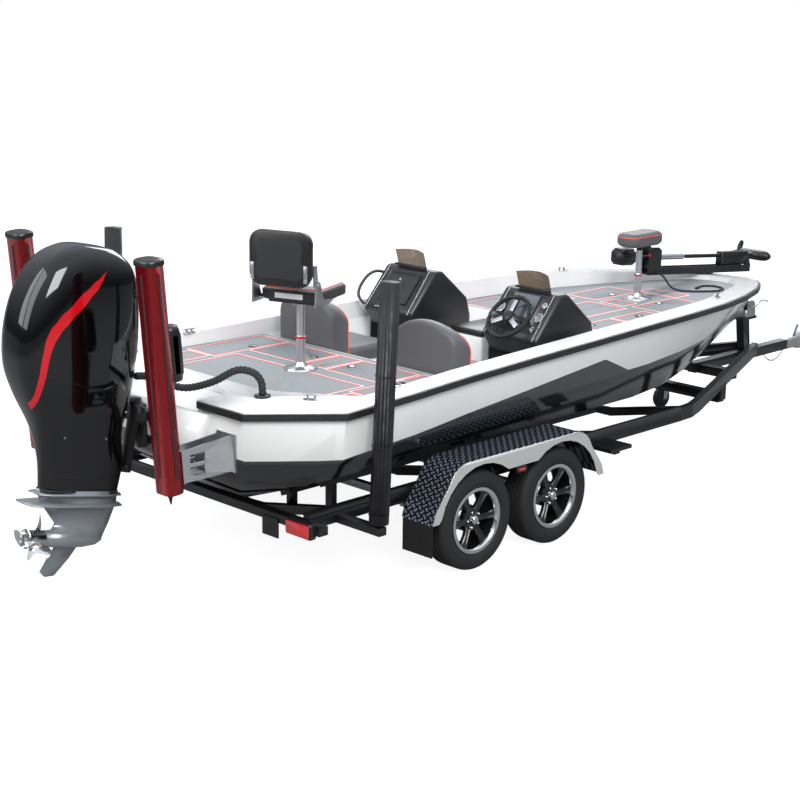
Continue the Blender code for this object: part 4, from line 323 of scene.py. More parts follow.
def topside_paint():
    """Two-pack polyurethane on aluminium plate: white topsides over a gloss black bottom.

    A dark grey flash widens along the chine to amidships, and two slashes cut the black at the bow. The
    white bottom ahead of the black is painted light grey as shade.
    """
    mat, tree, shader = start("two_pack_topside_paint", "#e4e4e0", 0.16, IOR=1.5, Coat_Weight=0.5,
                              Coat_Roughness=0.05)
    x = axis(tree, "X")
    z = axis(tree, "Z")
    ramp = add(tree, "ValToRGB", links={"Fac": (x - PAINT_START) / PAINT_RUN})
    elements = ramp.color_ramp.elements
    for i, (at, height) in enumerate(PAINT_EDGE):
        spot = (at + AXLE_X - PAINT_START) / PAINT_RUN
        mark = elements[i] if i < 2 else elements.new(spot)
        mark.position = spot
        mark.color = (height, height, height, 1)
    white_side = z > ramp.outputs["Color"]
    # the grey flash lies between this rising line and the white
    flash_foot = x * 0.02 + (0.944 - AXLE_X * 0.02)
    flash = (z > flash_foot) * (x < 1.752 + AXLE_X)
    # leaning place along the bow, where the black stops and the slashes are
    lean = x + (z - 0.98) * 1.8
    bottom = lean < 3.02 + AXLE_X
    above = z > x * 0.09 + (0.425 - AXLE_X * 0.09)
    slash = within(lean, 3.22 + AXLE_X, 3.56 + AXLE_X) * above
    black = calc(tree, "MAXIMUM", bottom, slash)
    cloud = noise(tree, 220.0, 2.0)
    white = shade(tree, cloud, "#dcddd9", "#e8e8e5")
    dark = shade(tree, flash, "#0a0a0b", "#2d2d2f")
    # below the white edge: black paint and the dark grey flash, and the white bottom ahead of the black
    # painted light grey as shade
    lower = shade(tree, black, "#c9cac8", dark)
    to(shader, tree, Base_Color=shade(tree, white_side, lower, white))
    to(shader, tree, Roughness=spread(tree, noise(tree, 60.0), 0.10, 0.20))
    bump(tree, shader, noise(tree, 90.0, 1.0), 0.0006, 0.4)
    return mat


def cap_paint():
    """White two-pack on the folded cap; the hose's flange on it is black."""
    mat, tree, shader = start("two_pack_cap_paint", "#f0f0ee", 0.22, IOR=1.5, Coat_Weight=0.4)
    x = axis(tree, "X")
    y = axis(tree, "Y")
    far = (x - (HOSE_FOOT[0] + AXLE_X)) ** 2.0 + (y - HOSE_FOOT[1]) ** 2.0
    flange = (far < 0.0512 ** 2) * (axis(tree, "Z") > 1.2265)
    cloud = shade(tree, noise(tree, 160.0, 2.0), "#e9e9e7", "#f4f4f3")
    to(shader, tree, Base_Color=shade(tree, flange, cloud, "#141415"))
    to(shader, tree, Roughness=spread(tree, noise(tree, 50.0), 0.17, 0.30))
    bump(tree, shader, noise(tree, 70.0, 1.0), 0.0005, 0.3)
    return mat


def moulded(name, colour, roughness=0.42, grain_mm=0.9, depth=0.00018, lighter=None):
    """Moulded ABS: a fine leather-like grain that softens the highlights."""
    mat, tree, shader = start(name, colour, roughness, IOR=1.5)
    grain = noise(tree, grain_mm * 2.2, 4.0, 0.6)
    cloud = noise(tree, 120.0, 2.0)
    to(shader, tree, Base_Color=shade(tree, cloud, colour, lighter or colour))
    to(shader, tree, Roughness=spread(tree, cloud, roughness - 0.06, roughness + 0.08))
    bump(tree, shader, grain, depth, 0.5)
    return mat


def rubbery(name, colour="#151516", roughness=0.72):
    """Vulcanised rubber: dull, with a bloom that varies over it."""
    mat, tree, shader = start(name, colour, roughness, IOR=1.5)
    cloud = noise(tree, 45.0, 3.0)
    to(shader, tree, Base_Color=shade(tree, cloud, colour, "#222224"))
    to(shader, tree, Roughness=spread(tree, cloud, roughness - 0.08, roughness + 0.1))
    bump(tree, shader, noise(tree, 3.0, 2.0), 0.0002, 0.5)
    return mat


def brushed(name, colour="#b9bcbf", roughness=0.30, along=(1, 12, 12), metallic=1.0):
    """Mill-finish aluminium: faint drawn lines and a soft satin gloss."""
    mat, tree, shader = start(name, colour, roughness, metallic)
    lines = noise(tree, 8.0, 2.0, 0.5, along)
    to(shader, tree, Roughness=spread(tree, lines, roughness - 0.08, roughness + 0.12))
    to(shader, tree, Base_Color=shade(tree, noise(tree, 60.0), colour, "#cfd1d3"))
    bump(tree, shader, lines, 0.00006, 0.4)
    return mat


def polished():
    """Polished stainless steel: near mirror with light swirl marks."""
    mat, tree, shader = start("polished_stainless_steel", "#c9c9c8", 0.10, 1.0)
    to(shader, tree, Roughness=spread(tree, noise(tree, 14.0, 3.0), 0.07, 0.18))
    return mat


def galvanised():
    """Hot-dip zinc: spangled crystals a few millimetres across, dull silver grey."""
    mat, tree, shader = start("hot_dip_galvanising", "#a5a9ab", 0.42, 0.85)
    cells = add(tree, "TexVoronoi", {"Scale": 120.0}, {"Vector": place(tree)})
    to(shader, tree, Base_Color=shade(tree, cells.outputs["Color"], "#8f9395", "#bcc0c2"))
    to(shader, tree, Roughness=spread(tree, cells.outputs["Distance"], 0.30, 0.55))
    return mat


def anodised_red():
    """Red anodised extrusion, deep and satin, with fine die lines up the mast."""
    mat, tree, shader = start("red_anodised_aluminium", "#b80814", 0.26, 0.45, Coat_Weight=0.3,
                              Coat_Roughness=0.08)
    z = axis(tree, "Z")
    x = axis(tree, "X")
    along = x + z * MAST_LEAN
    lines = noise(tree, 5.0, 2.0, 0.5, (1, 1, 0.03))
    body = shade(tree, lines, "#a80612", "#c40a18")
    cap = z > 2.1345
    foot_line = MAST_FOOT[0] + AXLE_X + MAST_FOOT[1] * MAST_LEAN
    drive = along > foot_line + 0.0606
    dark = calc(tree, "MINIMUM", cap + drive, 1.0)
    to(shader, tree, Base_Color=shade(tree, dark, body, "#0f0f10"))
    to(shader, tree, Metallic=spread(tree, dark, 0.45, 0.0))
    to(shader, tree, Roughness=spread(tree, dark, 0.24, 0.36))
    return mat


def cowl_paint():
    """Gloss black cowl with one curved red stripe down each side."""
    mat, tree, shader = start("gloss_black_cowl_paint", "#040405", 0.06, IOR=1.45, Coat_Weight=0.2,
                              Coat_Roughness=0.03)
    # Place in the motor's own upright frame, Z up from the tilt tube and X ahead of it.
    point = add(tree, "Mapping",
                {"vector_type": "TEXTURE", "Location": (TILT_TUBE[0] + AXLE_X, 0.0, TILT_TUBE[2]),
                                  "Rotation": (0.0, TILT, 0.0)}, {"Vector": place(tree)})
    parts = add(tree, "SeparateXYZ", links={"Vector": point.outputs["Vector"]})
    x, y, z = (Field(tree, parts.outputs[letter]) for letter in "XYZ")
    curve = add(tree, "ValToRGB", links={"Fac": (z + 0.45) / 1.45})
    curve.color_ramp.interpolation = "CARDINAL"
    marks = curve.color_ramp.elements
    for i, (at, back, half) in enumerate(STRIPE):
        mark = marks[i] if i < 2 else marks.new(at)
        mark.position = at
        mark.color = (back, half * 10, 0, 1)
    found = add(tree, "SeparateColor", links={"Color": curve.outputs["Color"]})
    off = abs(x + found.outputs["Red"])
    half = Field(tree, found.outputs["Green"]) / 10.0
    side = abs(y) > 0.06
    stripe = (off < half) * side
    to(shader, tree, Base_Color=shade(tree, stripe, "#040405", "#b80d19"))
    level = z + x * 0.2
    upper = within(level, 0.0425, 0.0465)
    lower = within(z + x * 0.05, -0.4165, -0.4135)
    seams = calc(tree, "MAXIMUM", upper, lower)
    centre = add(tree, "MapRange", {"From Min": 0.088, "From Max": 0.094, "To Min": 1.0, "To Max": 0.0},
                 {"Value": abs(y)}).outputs["Result"]
    behind = (z > 0.24) * centre
    bump(tree, shader, behind - seams, 0.003, 1.0)
    return mat


def silver_casting():
    """Painted aluminium casting of the gearcase: silver grey with a fine metallic flake."""
    mat, tree, shader = start("silver_painted_casting", "#868b90", 0.33, 0.55, Coat_Weight=0.4)
    flake = add(tree, "TexVoronoi", {"Scale": 900.0}, {"Vector": place(tree)}).outputs["Color"]
    to(shader, tree, Base_Color=shade(tree, flake, "#7d8287", "#93989c"))
    bump(tree, shader, noise(tree, 12.0, 2.0), 0.0003, 0.3)
    return mat


def deck_foam():
    """Brushed EVA foam: grey with fine lengthwise brush lines 3 mm apart; seat posts stay bare metal."""
    mat, tree, shader = start("closed_cell_deck_foam", "#858a8c", 0.86, IOR=1.4)
    streak = noise(tree, 5.0, 3.0, 0.6, (0.04, 1, 1))
    cloud = noise(tree, 300.0, 2.0)
    body = shade(tree, streak, "#787d80", "#8d9193")
    grey = shade(tree, cloud * 0.5, body, "#989c9e")
    high = axis(tree, "Z") > DECK_Z + 0.0008
    low = axis(tree, "Z") < DECK_Z - 0.01
    base = shade(tree, low, grey, "#d2d3d2")
    to(shader, tree, Base_Color=shade(tree, high, base, "#c6c9cc"))
    to(shader, tree, Metallic=high)
    to(shader, tree, Roughness=spread(tree, high, 0.86, 0.28))
    bump(tree, shader, streak, 0.0006, 0.5)
    return mat


def lid_foam():
    """The same foam on the lids, with a black ring round each latch."""
    mat, tree, shader = start("lid_deck_foam", "#858a8c", 0.86, IOR=1.4)
    streak = noise(tree, 5.0, 3.0, 0.6, (0.04, 1, 1))
    grey = shade(tree, streak, "#787d80", "#8d9193")
    high = axis(tree, "Z") > DECK_Z + 0.0008
    to(shader, tree, Base_Color=shade(tree, high, grey, "#141415"))
    to(shader, tree, Roughness=spread(tree, high, 0.86, 0.35))
    bump(tree, shader, streak, 0.0006, 0.5)
    return mat


def inlay_orange():
    """Routed inlay: orange EVA that shows where the grey top layer is cut away."""
    mat, tree, shader = start("orange_foam_inlay", "#e8482a", 0.8, IOR=1.4)
    to(shader, tree, Base_Color=shade(tree, noise(tree, 10.0), "#df4326", "#f0593a"))
    return mat


def vinyl(name, colour, other, roughness=0.52, grain_mm=1.6):
    """Marine vinyl: pebbled grain about 1.5 mm across and a soft sheen."""
    mat, tree, shader = start(name, colour, roughness, IOR=1.45, Sheen_Weight=0.08)
    cells = add(tree, "TexVoronoi", {"feature": "DISTANCE_TO_EDGE", "Scale": 1000.0 / grain_mm / 2},
                {"Vector": place(tree)})
    cloud = noise(tree, 140.0, 2.0)
    to(shader, tree, Base_Color=shade(tree, cloud, colour, other))
    bump(tree, shader, cells.outputs["Distance"], 0.0004, 0.35)
    return mat


def helm_vinyl():
    """Charcoal vinyl of the helm seats and the bow seat."""
    return vinyl("charcoal_marine_vinyl", "#4c4c4f", "#58585b")


def pole_sleeve():
    """Black vinyl sleeve drawn over a foam tube: slanting folds a few centimetres apart, painted darker in
    their hollows as shade and lighter on their ridges as highlight.
    """
    mat, tree, shader = start("black_pole_sleeve", "#101011", 0.40, IOR=1.45)
    folds = noise(tree, 60.0, 2.0, 0.5, (1.0, 1.6, 0.7))
    # painted shade and highlight: the colour follows the fold height, darker in the hollows and lighter on
    # the ridges
    to(shader, tree, Base_Color=shade(tree, folds, "#0d0d0e", "#1b1b1d"))
    bump(tree, shader, folds, 0.012, 0.9)
    return mat


def amber_acrylic():
    """Smoked amber acrylic sheet, moulded: clear brown with a sharp gloss."""
    mat, tree, shader = start("amber_acrylic", "#6f5736", 0.06, IOR=1.49)
    shader.inputs["Alpha"].default_value = 0.72
    to(shader, tree, Base_Color=shade(tree, noise(tree, 200.0, 1.0), "#604a2c", "#77603d"))
    return mat


def satin_frame():
    """Satin black powder coat on the steel frame, with bare zinc on the coupler and jack bracket."""
    mat, tree, shader = start("satin_black_powder_coat", "#0d0d0e", 0.38, IOR=1.5)
    x = axis(tree, "X")
    y = axis(tree, "Y")
    coupler = x > 5.318 + AXLE_X
    bracket = within(x, 4.12 + AXLE_X, 4.3 + AXLE_X) * (y > 0.315)
    zinc = calc(tree, "MINIMUM", coupler + bracket, 1.0)
    orange_peel = noise(tree, 4.0, 2.0)
    to(shader, tree, Base_Color=shade(tree, zinc, shade(tree, noise(tree, 90.0), "#0b0b0c", "#141415"),
                                      "#a9acae"))
    to(shader, tree, Metallic=spread(tree, zinc, 0.0, 0.85))
    to(shader, tree, Roughness=spread(tree, orange_peel, 0.32, 0.46))
    bump(tree, shader, orange_peel, 0.0003, 0.4)
    return mat


def tread_plate():
    """Tread plate: raised bars 30 mm long that cross each other on the top, and a bright outer flange. The
    ground between the bars is painted dark as shade, and the bar tops are painted pale blue-grey as
    highlight.
    """
    mat, tree, shader = start("tread_plate_aluminium", "#8e9296", 0.26, 1.0)
    x = axis(tree, "X")
    y = axis(tree, "Y")
    z = axis(tree, "Z")
    run = x + z * 0.9
    u = (run + y) / 0.056
    v = (run - y) / 0.056
    fu = abs(calc(tree, "FRACT", u) - 0.5)
    fv = abs(calc(tree, "FRACT", v) - 0.5)
    # neighbouring bars lie across each other
    odd = calc(tree, "FLOORED_MODULO", calc(tree, "FLOOR", u) + calc(tree, "FLOOR", v), 2.0)
    one = (fu < 0.2) * (fv < 0.45)
    other = (fv < 0.2) * (fu < 0.45)
    bars = odd * one + (1.0 - odd) * other
    outer = abs(y) > 1.2585
    flap = (x < -0.4405 + AXLE_X) * (z < 0.398)
    raised = bars * (1.0 - outer)
    # painted light: the ground between the bars is painted dark as shade, the bar tops pale blue-grey as
    # painted highlight
    top = shade(tree, raised, "#2a2f38", "#aab4c2")
    metal = shade(tree, outer, top, "#d9d8d4")
    to(shader, tree, Base_Color=shade(tree, flap, metal, "#121213"))
    to(shader, tree, Metallic=spread(tree, flap, 0.75, 0.0))
    to(shader, tree, Roughness=spread(tree, flap, 0.22, 0.75))
    bump(tree, shader, raised, 0.0015, 0.9)
    return mat


def alloy_rim():
    """Cast alloy wheel: satin black, with its lip turned bright."""
    mat, tree, shader = start("black_alloy_wheel", "#0c0c0d", 0.30, IOR=1.5, Coat_Weight=0.3)
    lip = abs(axis(tree, "Y")) > WHEEL_Y + 0.0835
    to(shader, tree, Base_Color=shade(tree, lip, "#0c0c0d", "#cfcfcd"))
    to(shader, tree, Metallic=lip)
    to(shader, tree, Roughness=spread(tree, lip, 0.30, 0.14))
    return mat


def tyre_rubber():
    """Tyre: matt sidewall with concentric moulded rings."""
    mat, tree, shader = start("tyre_rubber", "#121213", 0.78, IOR=1.5)
    cloud = noise(tree, 30.0, 3.0)
    to(shader, tree, Base_Color=shade(tree, cloud, "#121213", "#1d1d1e"))
    to(shader, tree, Roughness=spread(tree, cloud, 0.68, 0.86))
    along = axis(tree, "X") - AXLE_X
    front = along > AXLE_SPACING / 2
    along = along - front * AXLE_SPACING
    up = axis(tree, "Z") - TYRE_RADIUS
    far = calc(tree, "SQRT", along * along + up * up)
    across = abs(axis(tree, "Y")) * 4.0
    turn = calc(tree, "ARCTAN2", up, along) * (60 / (2 * math.pi)) + across
    sipes = (calc(tree, "FRACT", turn) < 0.16) * (far > 0.309)
    rings = calc(tree, "MAXIMUM", within(far, 0.248, 0.25), within(far, 0.293, 0.295))
    relief = sipes * -1.0 + rings * 0.5
    bump(tree, shader, relief, 0.004, 1.0)
    return mat


def plain(name, colour, roughness=0.4, metallic=0.0, other=None, size=20.0, **more):
    """A small fitting's finish, with a slight change of tone over it."""
    mat, tree, shader = start(name, colour, roughness, metallic, **more)
    to(shader, tree, Base_Color=shade(tree, noise(tree, size), colour, other or colour))
    to(shader, tree, Roughness=spread(tree, noise(tree, size), roughness * 0.85, roughness * 1.15))
    return mat


MAKERS = {
    "topside": topside_paint,
    "cap": cap_paint,
    "rail": lambda: rubbery("black_rub_rail", "#101011", 0.45),
    "abs": lambda: moulded("black_abs", "#0e0e0f", 0.38, lighter="#161617"),
    "console": lambda: moulded("textured_console_abs", "#111214", 0.36, 1.4, 0.00025, "#1a1b1e"),
    "rubber": lambda: rubbery("black_rubber"),
    "aluminium": lambda: brushed("mill_finish_aluminium"),
    "steel": polished,
    "zinc": galvanised,
    "red": anodised_red,
    "cowl": cowl_paint,
    "casting": silver_casting,
    "foam": deck_foam,
    "lid": lid_foam,
    "orange": inlay_orange,
    "joint": lambda: plain("white_deck_base", "#e9e9e6", 0.5, other="#f2f2f0", size=40.0),
    "mat": lambda: plain("cockpit_mat_foam", "#7d8183", 0.86, other="#8b8f91", size=30.0),
    "charcoal": helm_vinyl,
    "pale": lambda: vinyl("pale_grey_vinyl", "#c9cacb", "#d6d7d8"),
    "black_vinyl": lambda: vinyl("black_marine_vinyl", "#17181a", "#202124"),
    "piping": lambda: plain("orange_piping", "#e2512c", 0.5, other="#ec6238"),
    "amber": amber_acrylic,
    "frame": satin_frame,
    "tread": tread_plate,
    "rim": alloy_rim,
    "tyre": tyre_rubber,
    "floor": lambda: plain("painted_cockpit_liner", "#dcdddc", 0.35, other="#e6e7e6", size=150.0),
    "lens": lambda: plain("red_lamp_lens", "#b20f14", 0.12, other="#c8161b", Coat_Weight=1.0),
    "screen": lambda: plain("display_glass", "#3f444a", 0.22, other="#4a4f56", Coat_Weight=1.0),
    "dial": lambda: plain("gauge_face", "#6f757b", 0.2, other="#8b9197", Coat_Weight=1.0),
    "sleeve": pole_sleeve,
    "strap": lambda: plain("woven_black_strap", "#141414", 0.8, other="#222222", size=4.0),
    "switch": lambda: plain("rocker_switch_plastic", "#1c1d20", 0.3, other="#24262a"),
}
FINISHES = {}


def finish(name):
    """One of the materials above, made the first time it is asked for."""
    if name not in FINISHES:
        FINISHES[name] = MAKERS[name]()
    return FINISHES[name]


# ---------------------------------------------------------------- shapes

def dress(material, *nodes, angle=32.0):
    """Smooth finished copies of CAD nodes that stand for them."""
    for node in nodes:
        bm = bmesh.new()
        bm.from_mesh(NODES[node].data)
        bm.transform(NODES[node].matrix_world)
        ob = piece(node + "_finished", bm, material, BODY_OF[node], angle, move=False)
        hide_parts(node)


def add_loft(bm, rings):
    """A skin through closed rings of points, with both ends shut."""
    rows = [[bm.verts.new(point) for point in ring] for ring in rings]
    for low, high in zip(rows, rows[1:]):
        for i in range(len(low)):
            j = (i + 1) % len(low)
            bm.faces.new((low[i], low[j], high[j], high[i]))
    bm.faces.new(list(reversed(rows[0])))
    bm.faces.new(rows[-1])


def between_rows(rows, steps):
    """Extra rows on a smooth curve through a table of numbers."""
    ends = [rows[0]] + list(rows) + [rows[-1]]
    made = []
    for four in zip(ends, ends[1:], ends[2:], ends[3:]):
        for i in range(steps):
            t = i / steps
            made.append([0.5 * (2 * b + (c - a) * t + (2 * a - 5 * b + 4 * c - d) * t * t
                                + (3 * b - a - 3 * c + d) * t ** 3) for a, b, c, d in zip(*four)])
    made.append(list(rows[-1]))
    return made


def cushion(name, bm, material, body, limit=0.012, voxel=0.007):
    """A sewn cushion: the block is skinned with cloth, blown up a little and kept near its CAD place."""
    ob = piece(name, bm, material, None, 60.0)
    skin = ob.modifiers.new("skin", "REMESH")
    skin.mode = "VOXEL"
    skin.voxel_size = voxel
    freeze(ob)
    start_at = [v.co.copy() for v in ob.data.vertices]
    cloth = ob.modifiers.new("cloth", "CLOTH")
    cloth.settings.quality = 4
    cloth.settings.use_pressure = True
    cloth.settings.uniform_pressure_force = 2.0 + 3.0 * settings().cushion_sag
    cloth.settings.effector_weights.gravity = 0.0
    cloth.point_cache.frame_start = 1
    cloth.point_cache.frame_end = CLOTH_FRAMES
    for number in range(1, CLOTH_FRAMES + 1):
        bpy.context.scene.frame_set(number)
        bpy.context.view_layer.update()
    freeze(ob)
    bpy.context.scene.frame_set(1)
    for vertex, old in zip(ob.data.vertices, start_at):
        step = vertex.co - old
        if step.length > limit:
            vertex.co = old + step * (limit / step.length)
    ob.data.shade_smooth()
    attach(ob, body)
    return ob


def freeze(ob):
    """Turns an object's modifiers into its own mesh."""
    graph = bpy.context.evaluated_depsgraph_get()
    mesh = bpy.data.meshes.new_from_object(ob.evaluated_get(graph))
    old = ob.data
    ob.modifiers.clear()
    ob.data = mesh
    bpy.data.meshes.remove(old)


def piece(name, bm, material, body=ROOT, angle=35.0, move=True):
    """A finished piece: moved to the shared frame, closed, smooth, riding on its body."""
    if move:
        bmesh.ops.translate(bm, vec=(AXLE_X, 0, 0), verts=bm.verts)
    bmesh.ops.remove_doubles(bm, verts=bm.verts, dist=0.00002)
    bmesh.ops.recalc_face_normals(bm, faces=bm.faces)
    mesh = bpy.data.meshes.new(name)
    bm.to_mesh(mesh)
    bm.free()
    ob = shown(name, mesh)
    mesh.materials.append(finish(material))
    mesh.shade_smooth()
    mesh.set_sharp_from_angle(angle=math.radians(angle))
    if body:
        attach(ob, body)
    return ob


def shown(name, data):
    """A new object for a mesh, curve, camera or light, linked to the scene."""
    ob = bpy.data.objects.new(name, data)
    bpy.context.scene.collection.objects.link(ob)
    return ob


def moved(bm, before, matrix):
    """Places only the points that were added since before."""
    verts = [v for v in bm.verts if v not in before]
    bmesh.ops.transform(bm, matrix=matrix, verts=verts)
    return verts


def bevelled(bm, edges, width, segments=2):
    """Softens some edges."""
    bmesh.ops.bevel(bm, geom=edges, offset=width, offset_type="OFFSET", segments=segments, profile=0.5,
                    affect="EDGES", material=-1, clamp_overlap=True)


def add_box(bm, size, matrix, bevel=0.0, segments=2):
    """A block with softened edges at a place."""
    before = set(bm.verts)
    made = bmesh.ops.create_cube(bm, size=1.0)["verts"]
    bmesh.ops.scale(bm, vec=Vector(size), verts=made)
    if bevel:
        bevelled(bm, list({e for v in made for e in v.link_edges}), bevel, segments)
    moved(bm, before, matrix)


def add_disc(bm, radius, height, matrix, sides=32, bevel=0.0, top=None, segments=2):
    """A round boss that stands on its place, its rim softened."""
    before = set(bm.verts)
    made = bmesh.ops.create_cone(bm, cap_ends=True, segments=sides, radius1=radius,
                                 radius2=radius if top is None else top, depth=height)["verts"]
    bmesh.ops.translate(bm, vec=(0, 0, height / 2), verts=made)
    if bevel:
        rims = [e for e in {e for v in made for e in v.link_edges}
                if abs(e.verts[0].co.z - height) < 1e-6 and abs(e.verts[1].co.z - height) < 1e-6]
        bevelled(bm, rims, bevel, segments)
    moved(bm, before, matrix)


def add_ring(bm, major, minor, matrix, steps=32, sides=8):
    """A round ring spun from a small circle."""
    before = set(bm.verts)
    made = bmesh.ops.create_circle(bm, segments=sides, radius=minor)["verts"]
    bmesh.ops.rotate(bm, cent=(0, 0, 0), matrix=Matrix.Rotation(math.radians(90), 3, "X"), verts=made)
    bmesh.ops.translate(bm, vec=(major, 0, 0), verts=made)
    edges = list({e for v in made for e in v.link_edges})
    bmesh.ops.spin(bm, geom=made + edges, cent=(0, 0, 0), axis=(0, 0, 1), angle=2 * math.pi, steps=steps,
                   use_merge=True)
    moved(bm, before, matrix)


def add_turned(bm, profile, matrix, steps=32, closed=True):
    """A profile of radius and height pairs, spun about Z."""
    before = set(bm.verts)
    ring = [bm.verts.new((r, 0, z)) for r, z in profile]
    pairs = list(zip(ring, ring[1:]))
    if closed:
        pairs.append((ring[-1], ring[0]))
    edges = [bm.edges.new(pair) for pair in pairs]
    bmesh.ops.spin(bm, geom=ring + edges, cent=(0, 0, 0), axis=(0, 0, 1), angle=2 * math.pi, steps=steps,
                   use_merge=True)
    verts = moved(bm, before, matrix)
    bmesh.ops.remove_doubles(bm, verts=verts, dist=0.00002)


def add_plate(bm, outline, thickness, matrix, bevel=0.0):
    """A flat outline raised to a thickness."""
    before = set(bm.verts)
    face = bm.faces.new([bm.verts.new((x, y, 0)) for x, y in outline])
    grown = bmesh.ops.extrude_face_region(bm, geom=[face])["geom"]
    top = [g for g in grown if isinstance(g, bmesh.types.BMVert)]
    bmesh.ops.translate(bm, vec=(0, 0, thickness), verts=top)
    if bevel:
        rim = [e for e in {e for v in top for e in v.link_edges} if all(v in top for v in e.verts)]
        bevelled(bm, rim, bevel, 2)
    moved(bm, before, matrix)


def add_border(bm, corners, width, z, height=0.0014):
    """A thin raised band just inside a rectangle that is given by two opposite corners."""
    (x0, y0), (x1, y1) = corners
    rows = []
    for inset, level in ((0.0, z), (0.0, z + height), (width, z + height), (width, z)):
        rows.append([bm.verts.new(p) for p in ((x0 + inset, y0 + inset, level),
                                               (x1 - inset, y0 + inset, level),
                                               (x1 - inset, y1 - inset, level),
                                               (x0 + inset, y1 - inset, level))])
    for low, high in zip(rows, rows[1:] + rows[:1]):
        for i in range(4):
            j = (i + 1) % 4
            bm.faces.new((low[i], low[j], high[j], high[i]))


def rounded(width, height, radius, steps=4, centre=(0.0, 0.0)):
    """Points of a rectangle with round corners."""
    points = []
    for sx, sy, first in ((1, 1, 0), (-1, 1, 90), (-1, -1, 180), (1, -1, 270)):
        cx = centre[0] + sx * (width / 2 - radius)
        cy = centre[1] + sy * (height / 2 - radius)
        for i in range(steps + 1):
            angle = math.radians(first + 90 * i / steps)
            points.append((cx + radius * math.cos(angle), cy + radius * math.sin(angle)))
    return points


def wire(name, routes, radius, material, body=ROOT, cyclic=False, sides=2, smooth=True):
    """Round bar or piping along points, turned to a mesh in the shared frame."""
    curve = bpy.data.curves.new(name, "CURVE")
    curve.dimensions = "3D"
    curve.bevel_depth = radius
    curve.bevel_resolution = sides
    curve.use_fill_caps = True
    curve.resolution_u = 6
    for route in routes:
        spline = curve.splines.new("NURBS" if smooth else "POLY")
        spline.points.add(len(route) - 1)
        for point, (x, y, z) in zip(spline.points, route):
            point.co = (x + AXLE_X, y, z, 1)
        if smooth:
            spline.order_u = 3
            spline.use_endpoint_u = not cyclic
        spline.use_cyclic_u = cyclic
    return solid(name, curve, material, body)


def solid(name, curve, material, body):
    """A curve's own mesh, as a piece."""
    temp = shown(name + "_line", curve)
    graph = bpy.context.evaluated_depsgraph_get()
    mesh = bpy.data.meshes.new_from_object(temp.evaluated_get(graph))
    bpy.data.objects.remove(temp, do_unlink=True)
    bm = bmesh.new()
    bm.from_mesh(mesh)
    bpy.data.meshes.remove(mesh)
    return piece(name, bm, material, body, 50.0, move=False)


def dash_frame(y, along=0.0, across=0.0, out=0.0):
    """Place on a console's dash: X up the slope, Y to port, Z out of the face."""
    low, high = (Vector((x, y, z)) for x, z in DASH_EDGES)
    up = (high - low).normalized()
    side = Vector((0, 1, 0))
    rows = Matrix((up, side, up.cross(side))).transposed().to_4x4()
    return Matrix.Translation((low + high) / 2) @ rows @ Matrix.Translation((along, across, out))


def motor_frame():
    """Place of the motor's upright frame at its rest tilt."""
    return upright(*TILT_TUBE) @ Matrix.Rotation(TILT, 4, "Y")


def bow_frame():
    """Place of the bow motor's frame on its mount."""
    return upright(*BOW_MOTOR) @ spun(BOW_MOTOR_TILT, "Y")


def mast_frame(sign):
    """Place at a mast's foot, Z up the mast and X ahead."""
    foot = Vector((MAST_FOOT[0], sign * MAST_Y, MAST_FOOT[1]))
    up = Vector((-0.113, 0, 1.350)).normalized()
    side = Vector((0, 1, 0))
    return Matrix.Translation(foot) @ Matrix((side.cross(up), side, up)).transposed().to_4x4()


def upright(x, y, z):
    """A place whose axes lie along the shared frame's."""
    return Matrix.Translation((x, y, z))


def spun(degrees, letter):
    """A turn about one axis."""
    return Matrix.Rotation(math.radians(degrees), 4, letter)


# ---------------------------------------------------------------- settings

class BoatSettings(bpy.types.PropertyGroup):
    """Sizes and colours of the dressing that a user would change."""

    line_width: bpy.props.FloatProperty(name="Inlay width",
                                        description="Width of one inlay line on the decks",
                                        default=0.0130, min=0.002, max=0.03, unit="LENGTH")
    joint_width: bpy.props.FloatProperty(name="Pad joint",
                                         description="White joint left round each foam pad",
                                         default=0.0070, min=0.002, max=0.03, unit="LENGTH")
    piping_radius: bpy.props.FloatProperty(name="Piping radius", description="Radius of the seat piping",
                                           default=0.0035, min=0.001, max=0.01, unit="LENGTH")
    cushion_sag: bpy.props.FloatProperty(name="Cushion fill", description="How full the seat pads are",
                                         default=0.7, min=0.0, max=1.0, subtype="FACTOR")
    floor_tone: bpy.props.FloatProperty(name="Floor tone", description="Grey level of the studio floor",
                                        default=0.26, min=0.1, max=1.0, subtype="FACTOR")


def settings():
    """The panel's settings."""
    return bpy.context.scene.boat_settings


# ---------------------------------------------------------------- stage

